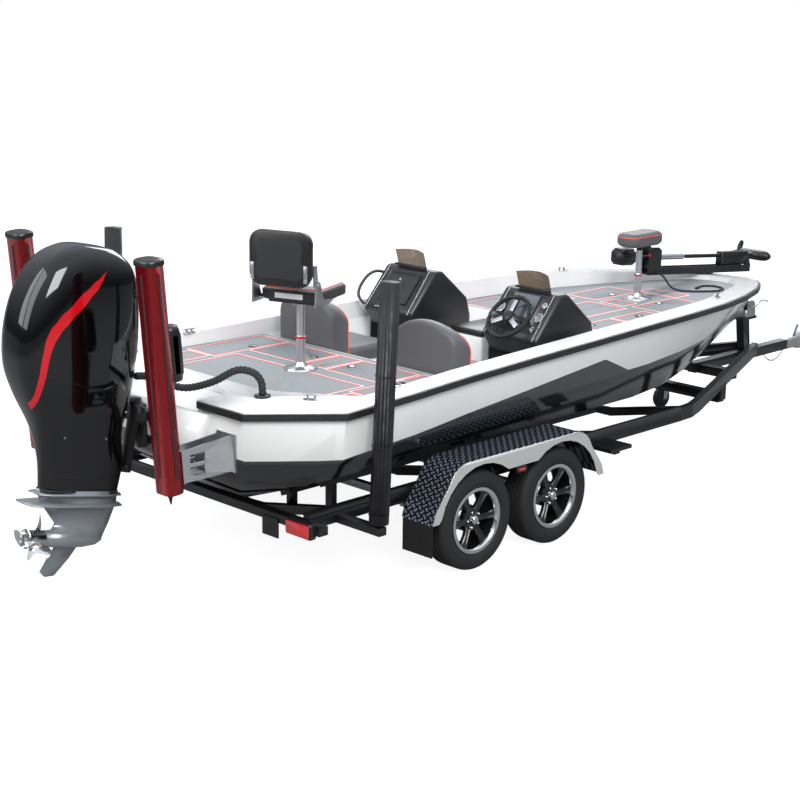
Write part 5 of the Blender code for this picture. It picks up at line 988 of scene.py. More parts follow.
class BOAT_OT_stage(bpy.types.Operator):
    """Make the studio floor, the soft lamps and the camera at the photograph's angle."""

    bl_idname = "boat.stage"
    bl_label = "Stage and camera"

    def execute(self, context):
        scene = context.scene
        scene.view_settings.view_transform = "Standard"
        camera = bpy.data.cameras.new("camera")
        camera.lens = CAMERA_LENS
        camera.sensor_width = 36.0
        camera.clip_end = 200.0
        eye = shown("camera", camera)
        yaw = math.radians(CAMERA_YAW)
        pitch = math.radians(CAMERA_PITCH)
        ahead = Vector((math.cos(yaw) * math.cos(pitch), math.sin(yaw) * math.cos(pitch), -math.sin(pitch)))
        turn = ahead.to_track_quat("-Z", "Y").to_matrix().to_4x4()
        eye.matrix_world = upright(*CAMERA_AT) @ turn @ spun(CAMERA_ROLL, "Z")
        scene.camera = eye
        bm = bmesh.new()
        bmesh.ops.create_grid(bm, x_segments=1, y_segments=1, size=60.0)
        mesh = bpy.data.meshes.new("floor")
        bm.to_mesh(mesh)
        bm.free()
        floor = shown("floor", mesh)
        floor.location.z = -0.001
        mesh.materials.append(self.floor_material())
        self.world(scene)
        self.lamp("key", (-7.0, -9.0, 9.0), 6.0, 1500.0)
        self.lamp("fill", (-10.0, 3.0, 6.0), 7.0, 600.0)
        self.lamp("rim", (8.0, 6.0, 8.0), 6.0, 700.0)
        return {"FINISHED"}

    def lamp(self, name, where, size, power):
        """A square soft lamp that looks at the boat."""
        light = bpy.data.lights.new(name, "AREA")
        light.shape = "SQUARE"
        light.size = size
        light.energy = power
        ob = shown(name, light)
        ob.location = where
        ob.rotation_euler = (Vector((0, 0, 0.8)) - Vector(where)).to_track_quat("-Z", "Y").to_euler()

    def seen(self, tree):
        """1 for rays that come straight from the camera or through glass."""
        path = add(tree, "LightPath")
        return calc(tree, "MAXIMUM", path.outputs["Is Camera Ray"], path.outputs["Is Transmission Ray"])

    def floor_material(self):
        """A pale floor that is bright to the camera and darker in reflections."""
        mat, tree, shader = start("pale_studio_floor", "#e9e9e8", 0.9)
        tone = settings().floor_tone
        shader.inputs["Base Color"].default_value = (tone, tone, tone, 1)
        glow = add(tree, "Emission", {"Color": (1, 1, 1, 1), "Strength": 0.90})
        both = add(tree, "AddShader", links={0: shader.outputs[0], 1: glow.outputs[0]})
        mixed = add(tree, "MixShader", links={0: self.seen(tree), 1: shader.outputs[0], 2: both.outputs[0]})
        out = next(n for n in tree.nodes if n.type == "OUTPUT_MATERIAL")
        tree.links.new(mixed.outputs[0], out.inputs["Surface"])
        return mat

    def world(self, scene):
        """White to the camera; for reflections a sky that brightens upwards."""
        world = bpy.data.worlds.new("studio")
        scene.world = world
        world.use_nodes = True
        tree = world.node_tree
        tree.nodes.clear()
        up = add(tree, "SeparateXYZ",
                 links={"Vector": add(tree, "TexCoord").outputs["Generated"]}).outputs["Z"]
        sky = add(tree, "MapRange", {"From Min": 0.05, "From Max": 0.80, "To Min": 0.13, "To Max": 1.35},
                  {"Value": up})
        soft = add(tree, "Background", {"Color": (0.86, 0.91, 1.0, 1)}, {"Strength": sky.outputs["Result"]})
        white = add(tree, "Background", {"Color": (1, 1, 1, 1), "Strength": 1.0})
        mixed = add(tree, "MixShader", links={0: self.seen(tree), 1: soft.outputs[0], 2: white.outputs[0]})
        add(tree, "OutputWorld", links={"Surface": mixed.outputs[0]})


# ---------------------------------------------------------------- cords

def smooth_route(points, spacing):
    """Evenly spaced points on a smooth curve through the route points, in the shared frame."""
    dense = [Vector(point) for point in between_rows(points, 20)]
    total = sum((b - a).length for a, b in zip(dense, dense[1:]))
    count = max(int(round(total / spacing)), 2)
    route = [dense[0]]
    walked = 0.0
    for a, b in zip(dense, dense[1:]):
        step = (b - a).length
        while walked + step >= total * len(route) / count and len(route) < count:
            route.append(a + (b - a) * ((total * len(route) / count - walked) / step))
        walked += step
    route.append(dense[-1])
    return [Vector((p.x + AXLE_X, p.y, p.z)) for p in route], total


class BOAT_OT_cords(bpy.types.Operator):
    """Make the ribbed rigging hose and the bow motor's power cable."""

    bl_idname = "boat.cords"
    bl_label = "Hose and cable"

    def execute(self, context):
        hose, length = smooth_route(((*HOSE_FOOT, 1.2403),) + HOSE_ROUTE, 0.006)
        tube = self.ribbed("rigging_hose_ribbed", hose, 0.0205, 0.0240, None)
        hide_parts("rigging_hose")
        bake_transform(tube)
        cable, length = smooth_route(CABLE_ROUTE, 0.012)
        lead = self.ribbed("bow_motor_cable_jacket", cable, 0.008, 0.008, ROOT)
        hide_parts("bow_motor_cable")
        plug = self.plug(cable[-2], cable[-1])
        return {"FINISHED"}

    def plug(self, before, last):
        """Power plug on the cable's end, with a grip ring and a collar."""
        along = (last - before).normalized()
        turn = along.to_track_quat("Z", "Y").to_matrix().to_4x4()
        where = Matrix.Translation(last - Vector((AXLE_X, 0, 0))) @ turn
        bm = bmesh.new()
        add_turned(bm, [(0.0, -0.004), (0.0095, -0.004), (0.0125, 0.004), (0.0125, 0.018), (0.0135, 0.020),
                        (0.0135, 0.034), (0.0125, 0.036), (0.0125, 0.052), (0.0105, 0.056), (0.0, 0.056)],
                   where, 24, False)
        return piece("bow_motor_cable_plug", bm, "abs")

    def ribbed(self, name, points, low, high, body):
        """A tube whose radius rises and falls from point to point."""
        curve = bpy.data.curves.new(name, "CURVE")
        curve.dimensions = "3D"
        curve.bevel_depth = 1.0
        curve.bevel_resolution = 4
        curve.use_fill_caps = True
        spline = curve.splines.new("POLY")
        spline.points.add(len(points) - 1)
        for i, (point, p) in enumerate(zip(spline.points, points)):
            point.co = (*p, 1)
            point.radius = high if i // 2 % 2 else low
        return solid(name, curve, "rubber", body)


# ---------------------------------------------------------------- hull

class BOAT_OT_hull(bpy.types.Operator):
    """Paint the hull and the cap, and add the cleats and louvres on them."""

    bl_idname = "boat.hull"
    bl_label = "Hull and cap"

    def execute(self, context):
        dress("topside", "hull")
        dress("cap", "gunwale_cap")
        dress("rail", "rub_rail")
        self.cleats()
        self.louvres()
        return {"FINISHED"}

    def cleats(self):
        """Pull-up mooring cleats on the cap."""
        bm = bmesh.new()
        for x, y, z, turn in CLEATS:
            for sign in (1, -1):
                where = upright(x, sign * y, z) @ Matrix.Rotation(math.radians(turn) * sign, 4, "Z")
                add_plate(bm, rounded(0.105, 0.034, 0.016), 0.004, where, 0.001)
                for end in (-0.022, 0.022):
                    add_disc(bm, 0.007, 0.022, where @ upright(end, 0, 0.003), 14, 0.001)
                add_box(bm, (0.115, 0.014, 0.011), where @ upright(0, 0, 0.029), 0.005, 3)
        piece("mooring_cleats", bm, "steel")

    def louvres(self):
        """A black vent of six slats in the cap's front edge below the splash well."""
        bm = bmesh.new()
        for i in range(6):
            add_box(bm, (0.008, 0.34, 0.006), upright(-1.3235, 0.0, 1.125 + i * 0.012)
                    @ spun(28, "Y"), 0.001, 1)
        piece("well_louvres", bm, "abs")


# ---------------------------------------------------------------- decks

class BOAT_OT_decks(bpy.types.Operator):
    """Lay the deck foam, its inlay lines, hatch outlines, latches and deck fittings."""

    bl_idname = "boat.decks"
    bl_label = "Decks and hatches"

    def execute(self, context):
        dress("foam", "rear_deck", "bow_deck", angle=8)
        dress("lid", *LIDS)
        dress("floor", "cockpit_floor")
        self.inlay()
        self.lid_lines()
        self.latches()
        return {"FINISHED"}

    def inlay(self):
        """Pairs of inlay lines round the fixed deck fields."""
        lines = bmesh.new()
        joints = bmesh.new()
        for low_x, high_x, low_y, high_y in FIELDS:
            for sign in (1, -1):
                if low_y < 0 and sign < 0:
                    continue
                self.pad_edge(lines, joints, (low_x, high_x), sorted((sign * low_y, sign * high_y)), DECK_Z)
        for low_x, high_x in FLOOR_MATS:
            self.pad_edge(lines, joints, (low_x, high_x), (-0.225, 0.225), FLOOR_TOP + 0.003)
        piece("deck_inlay_lines", lines, "orange")
        piece("deck_pad_joints", joints, "joint")
        mats = bmesh.new()
        for low_x, high_x in FLOOR_MATS:
            add_box(mats, (high_x - low_x, 0.450, 0.003),
                    upright((low_x + high_x) / 2, 0, FLOOR_TOP + 0.0015))
        piece("cockpit_foam_mats", mats, "mat")

    def pad_edge(self, lines, joints, along, across, top):
        """A white joint round a pad with an orange line inside it."""
        s = settings()
        for bm, inset, width in ((joints, 0.0, s.joint_width), (lines, s.joint_width, s.line_width)):
            x0, x1 = along[0] + inset, along[1] - inset
            y0, y1 = across[0] + inset, across[1] - inset
            add_border(bm, ((x0, y0), (x1, y1)), width, top - 0.0002)

    def lid_lines(self):
        """One inlay line round each opening lid, set in from its edge."""
        for node in LIDS:
            low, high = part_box(node)
            lines = bmesh.new()
            joints = bmesh.new()
            self.pad_edge(lines, joints, (low[0] - AXLE_X + 0.001, high[0] - AXLE_X - 0.001),
                          (low[1] + 0.001, high[1] - 0.001), DECK_Z)
            piece(node + "_inlay", lines, "orange", node)
            piece(node + "_joint", joints, "joint", node)

    def latches(self):
        """Flush latches on the fixed hatches and on the lids: a dark ring round a steel paddle."""
        rings = bmesh.new()
        paddles = bmesh.new()
        for x, y in LATCHES:
            for sign in (1, -1):
                add_ring(rings, 0.030, 0.004, upright(x, sign * y, DECK_Z + 0.001), 28, 6)
                add_disc(paddles, 0.0265, 0.0035, upright(x, sign * y, DECK_Z - 0.0005), 28, 0.001)
                add_box(paddles, (0.040, 0.010, 0.004), upright(x, sign * y, DECK_Z + 0.0035), 0.0015, 2)
        piece("hatch_latch_rings", rings, "abs")
        piece("hatch_latch_paddles", paddles, "steel")
        for node in LIDS:
            low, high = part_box(node)
            sign = 1 if low[1] > 0 else -1
            inner = low[1] if sign > 0 else high[1]
            bm = bmesh.new()
            middle = (low[0] + high[0]) / 2 - AXLE_X
            add_disc(bm, 0.024, 0.002, upright(middle, inner + sign * 0.06, DECK_Z + 0.0042), 28, 0.0008)
            add_box(bm, (0.040, 0.010, 0.004), upright(middle, inner + sign * 0.06, DECK_Z + 0.0075), 0.0015,
                    2)
            piece(node + "_latch", bm, "steel", node)


# ---------------------------------------------------------------- consoles

class BOAT_OT_consoles(bpy.types.Operator):
    """Finish the consoles: display, gauges, switches, trims, screens and the wheel."""

    bl_idname = "boat.consoles"
    bl_label = "Consoles"

    def execute(self, context):
        dress("console", "console_port", "console_starboard", "glovebox_lid")
        dress("amber", "windscreen_port", "windscreen_starboard")
        dress("abs", "steering_wheel")
        self.display()
        self.gauges()
        self.trims()
        self.wheel()
        self.rails()
        self.screen_bases()
        return {"FINISHED"}

    def display(self):
        """The glass of the display on the helm's dash."""
        bm = bmesh.new()
        add_plate(bm, rounded(0.190, 0.230, 0.012), 0.0012, dash_frame(-CONSOLE_Y, 0.05, 0.0, 0.0232),
                  0.0004)
        piece("helm_display_glass", bm, "screen")

    def gauges(self):
        """Round gauges each side of the display."""
        rims = bmesh.new()
        faces = bmesh.new()
        for along, across, radius in ((0.090, -0.175, 0.022), (-0.010, -0.180, 0.036),
                                      (-0.105, -0.175, 0.020),
                                      (0.020, 0.180, 0.036)):
            where = dash_frame(-CONSOLE_Y, along, across)
            add_turned(rims, [(radius, 0.0), (radius, 0.012), (radius - 0.005, 0.013),
                              (radius - 0.005, 0.0)], where, 36)
            add_disc(faces, radius - 0.005, 0.006, where, 36)
        piece("gauge_bezels", rims, "steel")
        piece("gauge_faces", faces, "dial")
        keys = bmesh.new()
        for i in range(4):
            add_box(keys, (0.030, 0.018, 0.008), dash_frame(-CONSOLE_Y, -0.150, 0.075 + 0.026 * i, 0.003),
                    0.002, 2)
        piece("rocker_switches", keys, "switch")

    def wheel(self):
        """Bright spoke plates and a domed hub on the steering wheel."""
        body = BODY_OF["steering_wheel"]
        centre = dash_frame(-CONSOLE_Y, -0.080, 0.0, 0.085)
        bm = bmesh.new()
        for turn in (0, 120, 240):
            arm = centre @ spun(turn, "Z")
            add_box(bm, (0.090, 0.034, 0.004), arm @ upright(0.085, 0, 0.010), 0.0018, 2)
        piece("steering_wheel_spokes", bm, "aluminium", body)
        bm = bmesh.new()
        add_turned(bm,
                   [(0.0, 0.0), (0.034, 0.0), (0.040, 0.006), (0.036, 0.020), (0.020, 0.027), (0.0, 0.029)],
                   centre, 40, False)
        for i in range(24):
            grip = centre @ Matrix.Rotation(2 * math.pi * i / 24, 4, "Z") @ upright(0.1625, 0, 0)
            add_ring(bm, 0.0142, 0.0016, grip @ spun(90, "X"), 20, 6)
        piece("steering_wheel_grip", bm, "abs", body)

    def rails(self):
        """Tubular grab rail outboard of the port console, and the bright bar under its glovebox."""
        rail = [dash_frame(CONSOLE_Y, a, c, o).translation for a, c, o in
                ((0.120, 0.238, -0.010), (0.110, 0.262, 0.030), (0.040, 0.300, 0.060),
                 (-0.080, 0.310, 0.060), (-0.150, 0.290, 0.035), (-0.165, 0.245, -0.010))]
        wire("console_grab_rail", [[tuple(p) for p in rail]], 0.011, "abs", sides=3)
        bar = [dash_frame(CONSOLE_Y, a, c, o).translation for a, c, o in
               ((-0.168, 0.120, 0.004), (-0.176, 0.080, 0.030), (-0.180, 0.000, 0.038),
                (-0.176, -0.080, 0.030),
                (-0.168, -0.120, 0.004))]
        wire("glovebox_grab_bar", [[tuple(p) for p in bar]], 0.007, "steel", sides=3)
        bm = bmesh.new()
        add_turned(bm, [(0.0, 0.0), (0.012, 0.0), (0.012, 0.008), (0.009, 0.013), (0.0, 0.014)],
                   dash_frame(CONSOLE_Y, 0.070, 0.0, 0.0180), 24, False)
        add_box(bm, (0.016, 0.044, 0.006), dash_frame(CONSOLE_Y, -0.090, 0.0, 0.0200), 0.002, 2)
        piece("glovebox_knob_and_latch", bm, "steel", "glovebox_lid")

    def screen_bases(self):
        """Black strip that holds the foot of each acrylic screen."""
        bm = bmesh.new()
        for side, _ in SIDES:
            low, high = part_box("windscreen_" + side)
            middle = (low[1] + high[1]) / 2
            add_box(bm, (0.026, high[1] - low[1] + 0.012, 0.016),
                    upright(low[0] - AXLE_X + 0.014, middle, low[2] + 0.012), 0.005, 3)
        piece("windscreen_bases", bm, "abs")

    def trims(self):
        """Bright edge trims down both sides of each dash."""
        routes = []
        for _, sign in SIDES:
            for across in (-0.215, 0.215):
                low = dash_frame(sign * CONSOLE_Y, -0.190, across, 0.001).translation
                high = dash_frame(sign * CONSOLE_Y, 0.185, across * 0.93, 0.001).translation
                routes.append([tuple(low), tuple((low + high) / 2), tuple(high)])
        wire("dash_edge_trims", routes, 0.0022, "aluminium")


# ---------------------------------------------------------------- seats

def rear_seat_frame():
    """Place of the rear seat on its post, turned a little to port."""
    return upright(*REAR_SEAT) @ spun(20, "Z")


def slab(bm, width, depth, rows, matrix, radius=0.05, steps=6):
    """A block through rows of height and share of its full size, with round corners."""
    before = set(bm.verts)
    add_loft(bm, [[(x, y, z) for x, y in rounded(width * share, depth * share, radius * share, steps)]
                  for z, share in rows])
    moved(bm, before, matrix)


def arch(x, y, share, foot=0.8303, top=1.36, drop=0.0, steps=20):
    """Round-topped outline of a helm seat's back at one place along the boat."""
    half = 0.270 * share
    points = [(x, y + half, foot)]
    points += [(x, y + half * math.cos(a), top - drop + 0.13 * share * math.sin(a))
               for a in [math.pi * i / steps for i in range(steps + 1)]]
    return points + [(x, y - half, foot)]


class BOAT_OT_seats(bpy.types.Operator):
    """Cover the seats: vinyl, pale panels, piping and padded cushions, and the cool box."""

    bl_idname = "boat.seats"
    bl_label = "Seats and cool box"

    def execute(self, context):
        dress("floor", "cooler_box")
        dress("abs", "cooler_lid")
        for side, sign in SIDES:
            self.helm(side, sign * HELM_SEAT_Y)
        self.rear_seat()
        self.bow_seat()
        self.piping()
        return {"FINISHED"}

    def helm(self, side, y):
        """Upholstered back with a rounded top, a plinth and a loose seat cushion."""
        bm = bmesh.new()
        add_loft(bm, [arch(x, y, share, drop=drop) for x, share, drop in HELM_BACK])
        back = piece("helm_seat_back_" + side, bm, "charcoal", angle=50)
        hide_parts("helm_seat_" + side)
        bm = bmesh.new()
        add_loft(bm, [arch(x, y, share, 0.90, drop=drop) for x, share, drop in
                      ((0.300, 0.84, 0.050), (0.334, 0.84, 0.056), (0.342, 0.80, 0.062),
                       (0.346, 0.70, 0.075))])
        piece("helm_seat_facing_" + side, bm, "pale", angle=50)
        bm = bmesh.new()
        add_box(bm, (0.440, 0.520, 0.180), upright(0.540, y, 0.9205), 0.012, 3)
        piece("helm_seat_plinth_" + side, bm, "floor")
        bm = bmesh.new()
        slab(bm, 0.470, 0.505, ((0.0, 0.92), (0.018, 0.985), (0.080, 0.985), (0.100, 0.90)),
             upright(0.560, y, 1.012), 0.07)
        cushion("helm_seat_cushion_" + side, bm, "charcoal", ROOT, 0.012, 0.010)

    def rear_seat(self):
        """Folding seat: padded seat and back on an aluminium frame, with pale facings."""
        seat = rear_seat_frame()
        body = BODY_OF["rear_seat_base"]
        back_body = BODY_OF["rear_seat_back"]
        bm = bmesh.new()
        slab(bm, 0.405, 0.425, ((0.100, 0.95), (0.106, 0.985), (0.130, 0.975), (0.139, 0.90)),
             seat @ upright(0.05, 0, 0), 0.06)
        cushion("rear_seat_cushion", bm, "pale", body, 0.009, 0.006)
        bm = bmesh.new()
        slab(bm, 0.417, 0.437, ((0.046, 0.95), (0.054, 0.995), (0.104, 1.0), (0.112, 0.97)),
             seat @ upright(0.05, 0, 0), 0.06)
        slab(bm, 0.340, 0.340, ((0.028, 1.0), (0.047, 1.0)), seat @ upright(0.03, 0, 0), 0.03)
        frame_side = piece("rear_seat_shell", bm, "black_vinyl", body)
        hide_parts("rear_seat_base")
        bm = bmesh.new()
        add_disc(bm, 0.055, 0.030, seat, 32, 0.003)
        for sign in (1, -1):
            outline = [(-0.23, 0.03), (-0.05, 0.03), (0.02, 0.05), (-0.12, 0.07), (-0.17, 0.19),
                       (-0.22, 0.20)]
            place_at = seat @ upright(0, sign * 0.2258, 0) @ spun(90, "X")
            add_plate(bm, outline, 0.012, place_at @ upright(0, 0, -0.006), 0.002)
            add_disc(bm, 0.013, 0.006, seat @ upright(-0.196, sign * 0.2318, 0.172)
                     @ spun(-90 * sign, "X"), 20, 0.0015)
        add_disc(bm, 0.008, 0.464, seat @ upright(-0.12, -0.232, 0.045) @ spun(-90, "X"), 16)
        piece("rear_seat_arms", bm, "aluminium", body)
        bm = bmesh.new()
        turned_up = seat @ upright(-0.235, 0, 0.335) @ spun(90, "Y")
        slab(bm, 0.350, 0.426, ((-0.046, 0.93), (-0.036, 0.985), (0.030, 0.985), (0.044, 0.90)), turned_up,
             0.08)
        back = cushion("rear_seat_backrest", bm, "black_vinyl", back_body, 0.009, 0.006)
        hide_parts("rear_seat_back")
        bm = bmesh.new()
        slab(bm, 0.355, 0.434,
             ((-0.0545, 0.93), (-0.0510, 0.98), (-0.044, 1.0), (-0.020, 1.0), (-0.016, 0.98)),
             turned_up, 0.085)
        piece("rear_seat_back_shell", bm, "abs", back_body)
        bm = bmesh.new()
        slab(bm, 0.290, 0.360, ((0.030, 0.98), (0.046, 0.97), (0.0535, 0.88)), turned_up, 0.07)
        backrest_face = piece("rear_seat_back_facing", bm, "pale", back_body)
        bm = bmesh.new()
        for sign in (1, -1):
            add_box(bm, (0.0040, 0.026, 0.110), seat @ upright(-0.2910, sign * 0.190, 0.250), 0.0012, 2)
            for z in (0.215, 0.285):
                stud = seat @ upright(-0.2925, sign * 0.190, z) @ spun(-90, "Y")
                add_disc(bm, 0.0055, 0.0035, stud, 16, 0.001)
        piece("rear_seat_hinge_straps", bm, "aluminium", back_body)
        bm = bmesh.new()
        add_box(bm, (0.006, 0.200, 0.034), seat @ upright(-0.1620, 0, 0.078), 0.002, 2)
        piece("rear_seat_rear_panel", bm, "pale", body)
        bm = bmesh.new()
        for sign in (1, -1):
            outline = [(-0.225, 0.165), (-0.195, 0.150), (-0.170, 0.180), (-0.190, 0.30), (-0.225, 0.30)]
            place_at = seat @ upright(0, sign * 0.2145, 0) @ spun(90, "X")
            add_plate(bm, outline, 0.010, place_at @ upright(0, 0, -0.005), 0.0015)
        piece("rear_seat_straps", bm, "aluminium", back_body)
        bm = bmesh.new()
        for x, height in ((REAR_SEAT[0], 0.215), (BOW_SEAT[0], 0.195)):
            add_turned(bm, [(0.0302, 0.0), (0.0335, 0.001), (0.0335, 0.017), (0.0302, 0.018)],
                       upright(x, 0, DECK_Z + height - 0.012), 32)
        piece("seat_post_bands", bm, "lens")

    def bow_seat(self):
        """Leaning seat: a bicycle-style pad, charcoal with orange piping."""
        body = BODY_OF["bow_seat"]
        seat = upright(*BOW_SEAT)
        bm = bmesh.new()
        slab(bm, 0.425, 0.228, ((0.044, 0.88), (0.060, 0.985), (0.120, 0.985), (0.138, 0.88)), seat, 0.095)
        pad = cushion("bow_seat_pad", bm, "charcoal", body, 0.008, 0.006)
        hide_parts("bow_seat")
        bm = bmesh.new()
        add_disc(bm, 0.022, 0.050, seat, 24, 0.002)
        add_disc(bm, 0.045, 0.008, seat @ upright(0, 0, 0.036), 28, 0.002)
        piece("bow_seat_stem", bm, "abs", body)

    def on_skin(self, name, route):
        """Points of a seam moved sideways onto the nearest place of a cushion's skin."""
        pad = bpy.data.objects[name]
        bpy.context.view_layer.update()
        place_at = pad.matrix_world
        seam = []
        for x, y, z in route:
            _, spot, _, _ = pad.closest_point_on_mesh(place_at.inverted() @ Vector((x + AXLE_X, y, z)))
            spot = place_at @ spot
            seam.append(Vector((spot.x - AXLE_X, spot.y, spot.z)))
        return seam

    def piping(self):
        """Orange piping along the cushions' upper seams."""
        radius = settings().piping_radius
        routes = []
        for _, sign in SIDES:
            routes.append(arch(0.322, sign * HELM_SEAT_Y, 0.955, 0.86, drop=0.055))
        wire("helm_seat_piping", routes, radius, "piping", smooth=False)
        seat = rear_seat_frame()
        ring = [seat @ Vector((x + 0.05, y, 0.126)) for x, y in rounded(0.412, 0.432, 0.062, 8)]
        ring = self.on_skin("rear_seat_cushion", ring)
        wire("rear_seat_piping", [ring], radius, "piping", BODY_OF["rear_seat_base"], cyclic=True,
             smooth=False)
        ring = [Vector((BOW_SEAT[0] + x, y, BOW_SEAT[2] + 0.122))
                for x, y in rounded(0.430, 0.232, 0.097, 10)]
        ring = self.on_skin("bow_seat_pad", ring)
        wire("bow_seat_piping", [ring], radius, "piping", BODY_OF["bow_seat"], cyclic=True, smooth=False)


# ---------------------------------------------------------------- motors, masts and trailer

class BOAT_OT_outboard(bpy.types.Operator):
    """Finish the outboard: gloss cowl, silver gearcase and polished propeller."""

    bl_idname = "boat.outboard"
    bl_label = "Outboard"

    def execute(self, context):
        place_at = motor_frame()
        bm = bmesh.new()
        rings = []
        for z, front, rear, half, power in between_rows(COWL, 5):
            ring = []
            for i in range(56):
                a = 2 * math.pi * i / 56
                c, d = math.cos(a), math.sin(a)
                ring.append((0.5 * (front + rear) + 0.5 * (front - rear) * math.copysign(abs(c) ** power, c),
                             half * math.copysign(abs(d) ** power, d), z))
            rings.append(ring)
        add_loft(bm, rings)
        bm.transform(place_at)
        cowl = piece("outboard_cowl_skin", bm, "cowl", BODY_OF["outboard_cowl"], 50)
        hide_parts("outboard_cowl")
        bm = bmesh.new()
        for low, high in ((0.0503, 0.090), (-0.370, -0.3303)):
            add_disc(bm, 0.034, high - low, place_at @ upright(-0.060, 0, low), 28, 0.002)
            add_box(bm, (0.190, 0.056, high - low - 0.004), place_at @ upright(-0.155, 0, (low + high) / 2),
                    0.004)
        piece("outboard_steering_arms", bm, "abs", BODY_OF["outboard_cowl"])
        dress("casting", "outboard_gearcase", angle=40)
        self.propeller(place_at @ upright(-0.640, 0, -0.773))
        dress("abs", "outboard_clamp", "outboard_swivel")
        self.details(place_at)
        return {"FINISHED"}

    def propeller(self, place_at):
        """Three cupped blades, lofted through cylindrical sections, on a flared hub."""
        bm = bmesh.new()
        add_turned(bm, [(0.0, 0.0548), (0.047, 0.0548), (0.050, 0.051), (0.052, -0.040), (0.0595, -0.0645),
                        (0.0555, -0.0668), (0.046, -0.040), (0.024, -0.040), (0.020, -0.058), (0.0, -0.060)],
                   place_at @ spun(90, "Y"), 56, False)
        for k in range(3):
            before = set(bm.verts)
            add_loft(bm, [self.blade_ring(*row) for row in between_rows(BLADE, 5)])
            moved(bm, before, place_at @ spun(120 * k + 20, "X"))
        skin = piece("outboard_propeller_skin", bm, "steel", BODY_OF["outboard_propeller"], 45)
        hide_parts("outboard_propeller")

    def blade_ring(self, radius, chord, pitch_deg, thickness, rake, sweep, steps=14):
        """One blade section wrapped on a cylinder about the shaft."""
        pitch = math.radians(pitch_deg)
        ring = []
        for i in range(2 * steps):
            t = i / steps if i <= steps else 2 - i / steps
            side = 1 if i <= steps else -1
            s = (t - 0.5) * chord + sweep
            bulge = side * thickness * math.sin(math.pi * t) * 0.5
            x = s * math.sin(pitch) + bulge * math.cos(pitch) - rake
            angle = (s * math.cos(pitch) - bulge * math.sin(pitch)) / radius
            ring.append((x, radius * math.sin(angle), radius * math.cos(angle)))
        return ring

    def details(self, place_at):
        """Gasket under the cowl, cowl screws and the motor's mounting bolts."""
        bm = bmesh.new()
        outline = rounded(0.545, 0.146, 0.066, 8, (-0.388, 0.0))
        add_plate(bm, outline, 0.010, place_at @ upright(0, 0, -0.484), 0.002)
        piece("outboard_gasket", bm, "rubber", BODY_OF["outboard_cowl"])
        bm = bmesh.new()
        for z, x in ((-0.150, -0.330), (-0.150, -0.620), (0.020, -0.250)):
            for sign in (1, -1):
                half = 0.126 if z < 0 else 0.169
                add_disc(bm, 0.007, 0.004, place_at @ upright(x, sign * (half - 0.002), z)
                         @ spun(-90 * sign, "X"), 18, 0.001)
        piece("outboard_cowl_screws", bm, "steel", BODY_OF["outboard_cowl"])
        bm = bmesh.new()
        for sign in (1, -1):
            for z in (0.880, 0.960, 1.060):
                where = upright(-1.6140, sign * 0.145, z) @ spun(-90, "Y")
                add_disc(bm, 0.009, 0.010, where, 6, 0.0015)
        piece("outboard_mounting_bolts", bm, "steel")


class BOAT_OT_masts(bpy.types.Operator):
    """Finish the two anchor masts, their brackets, spikes and cables."""

    bl_idname = "boat.masts"
    bl_label = "Anchor masts"

    def execute(self, context):
        dress("red", "anchor_mast_port", "anchor_mast_starboard")
        dress("aluminium", "mast_bracket_port", "mast_bracket_starboard", angle=20)
        dress("abs", "anchor_spike_port", "anchor_spike_starboard")
        domes = bmesh.new()
        pods = bmesh.new()
        slots = bmesh.new()
        bolts = bmesh.new()
        routes = []
        for _, sign in SIDES:
            mast = mast_frame(sign)
            slab(domes, 0.1325, 0.1725,
                 ((-0.0255, 0.985), (-0.022, 1.002), (-0.008, 1.002), (-0.003, 0.985)),
                 mast @ upright(0, 0, MAST_LENGTH), 0.05, 8)
            slab(domes, 0.122, 0.162,
                 ((-0.004, 1.0), (0.004, 0.93), (0.009, 0.80), (0.012, 0.55), (0.013, 0.25)),
                 mast @ upright(0, 0, MAST_LENGTH), 0.05, 8)
            outline = [(0.050, 0.690), (0.050, 0.910), (0.024, 0.964), (-0.024, 0.964), (-0.050, 0.910),
                       (-0.050, 0.690), (-0.024, 0.636), (0.024, 0.636)]
            # the pod's outline lies across the boat and is raised ahead of the mast
            facing = mast @ Matrix(((0, 0, 1, 0.0590), (1, 0, 0, 0), (0, 1, 0, 0), (0, 0, 0, 1)))
            add_plate(pods, outline, 0.0820, facing, 0.010)
            for side in (1, -1):
                add_box(slots, (0.014, 0.0024, 1.180), mast @ upright(0.0, side * 0.0798, 0.690), 0.0008, 1)
                for z in (0.09, 0.20):
                    where = mast @ upright(0.052, side * 0.034, z) @ spun(90, "Y")
                    add_disc(bolts, 0.008, 0.0110, where, 6, 0.001)
            add_box(slots, (0.0024, 0.014, 1.180), mast @ upright(-0.0598, 0.0, 0.690), 0.0008, 1)
            routes.append([tuple(mast @ Vector(point)) for point in
                           ((0.085, -0.030 * sign, 0.640), (0.087, -0.032 * sign, 0.600),
                            (0.072, -0.034 * sign, 0.520), (0.0665, -0.034 * sign, 0.420),
                            (0.0665, -0.034 * sign, 0.300), (0.085, -0.030 * sign, 0.262))])
        piece("mast_end_caps", domes, "abs", angle=50)
        piece("mast_drive_pods", pods, "abs", angle=40)
        piece("mast_slots", slots, "rubber")
        piece("mast_bracket_bolts", bolts, "steel")
        wire("mast_cables", routes, 0.0035, "rubber")
        return {"FINISHED"}


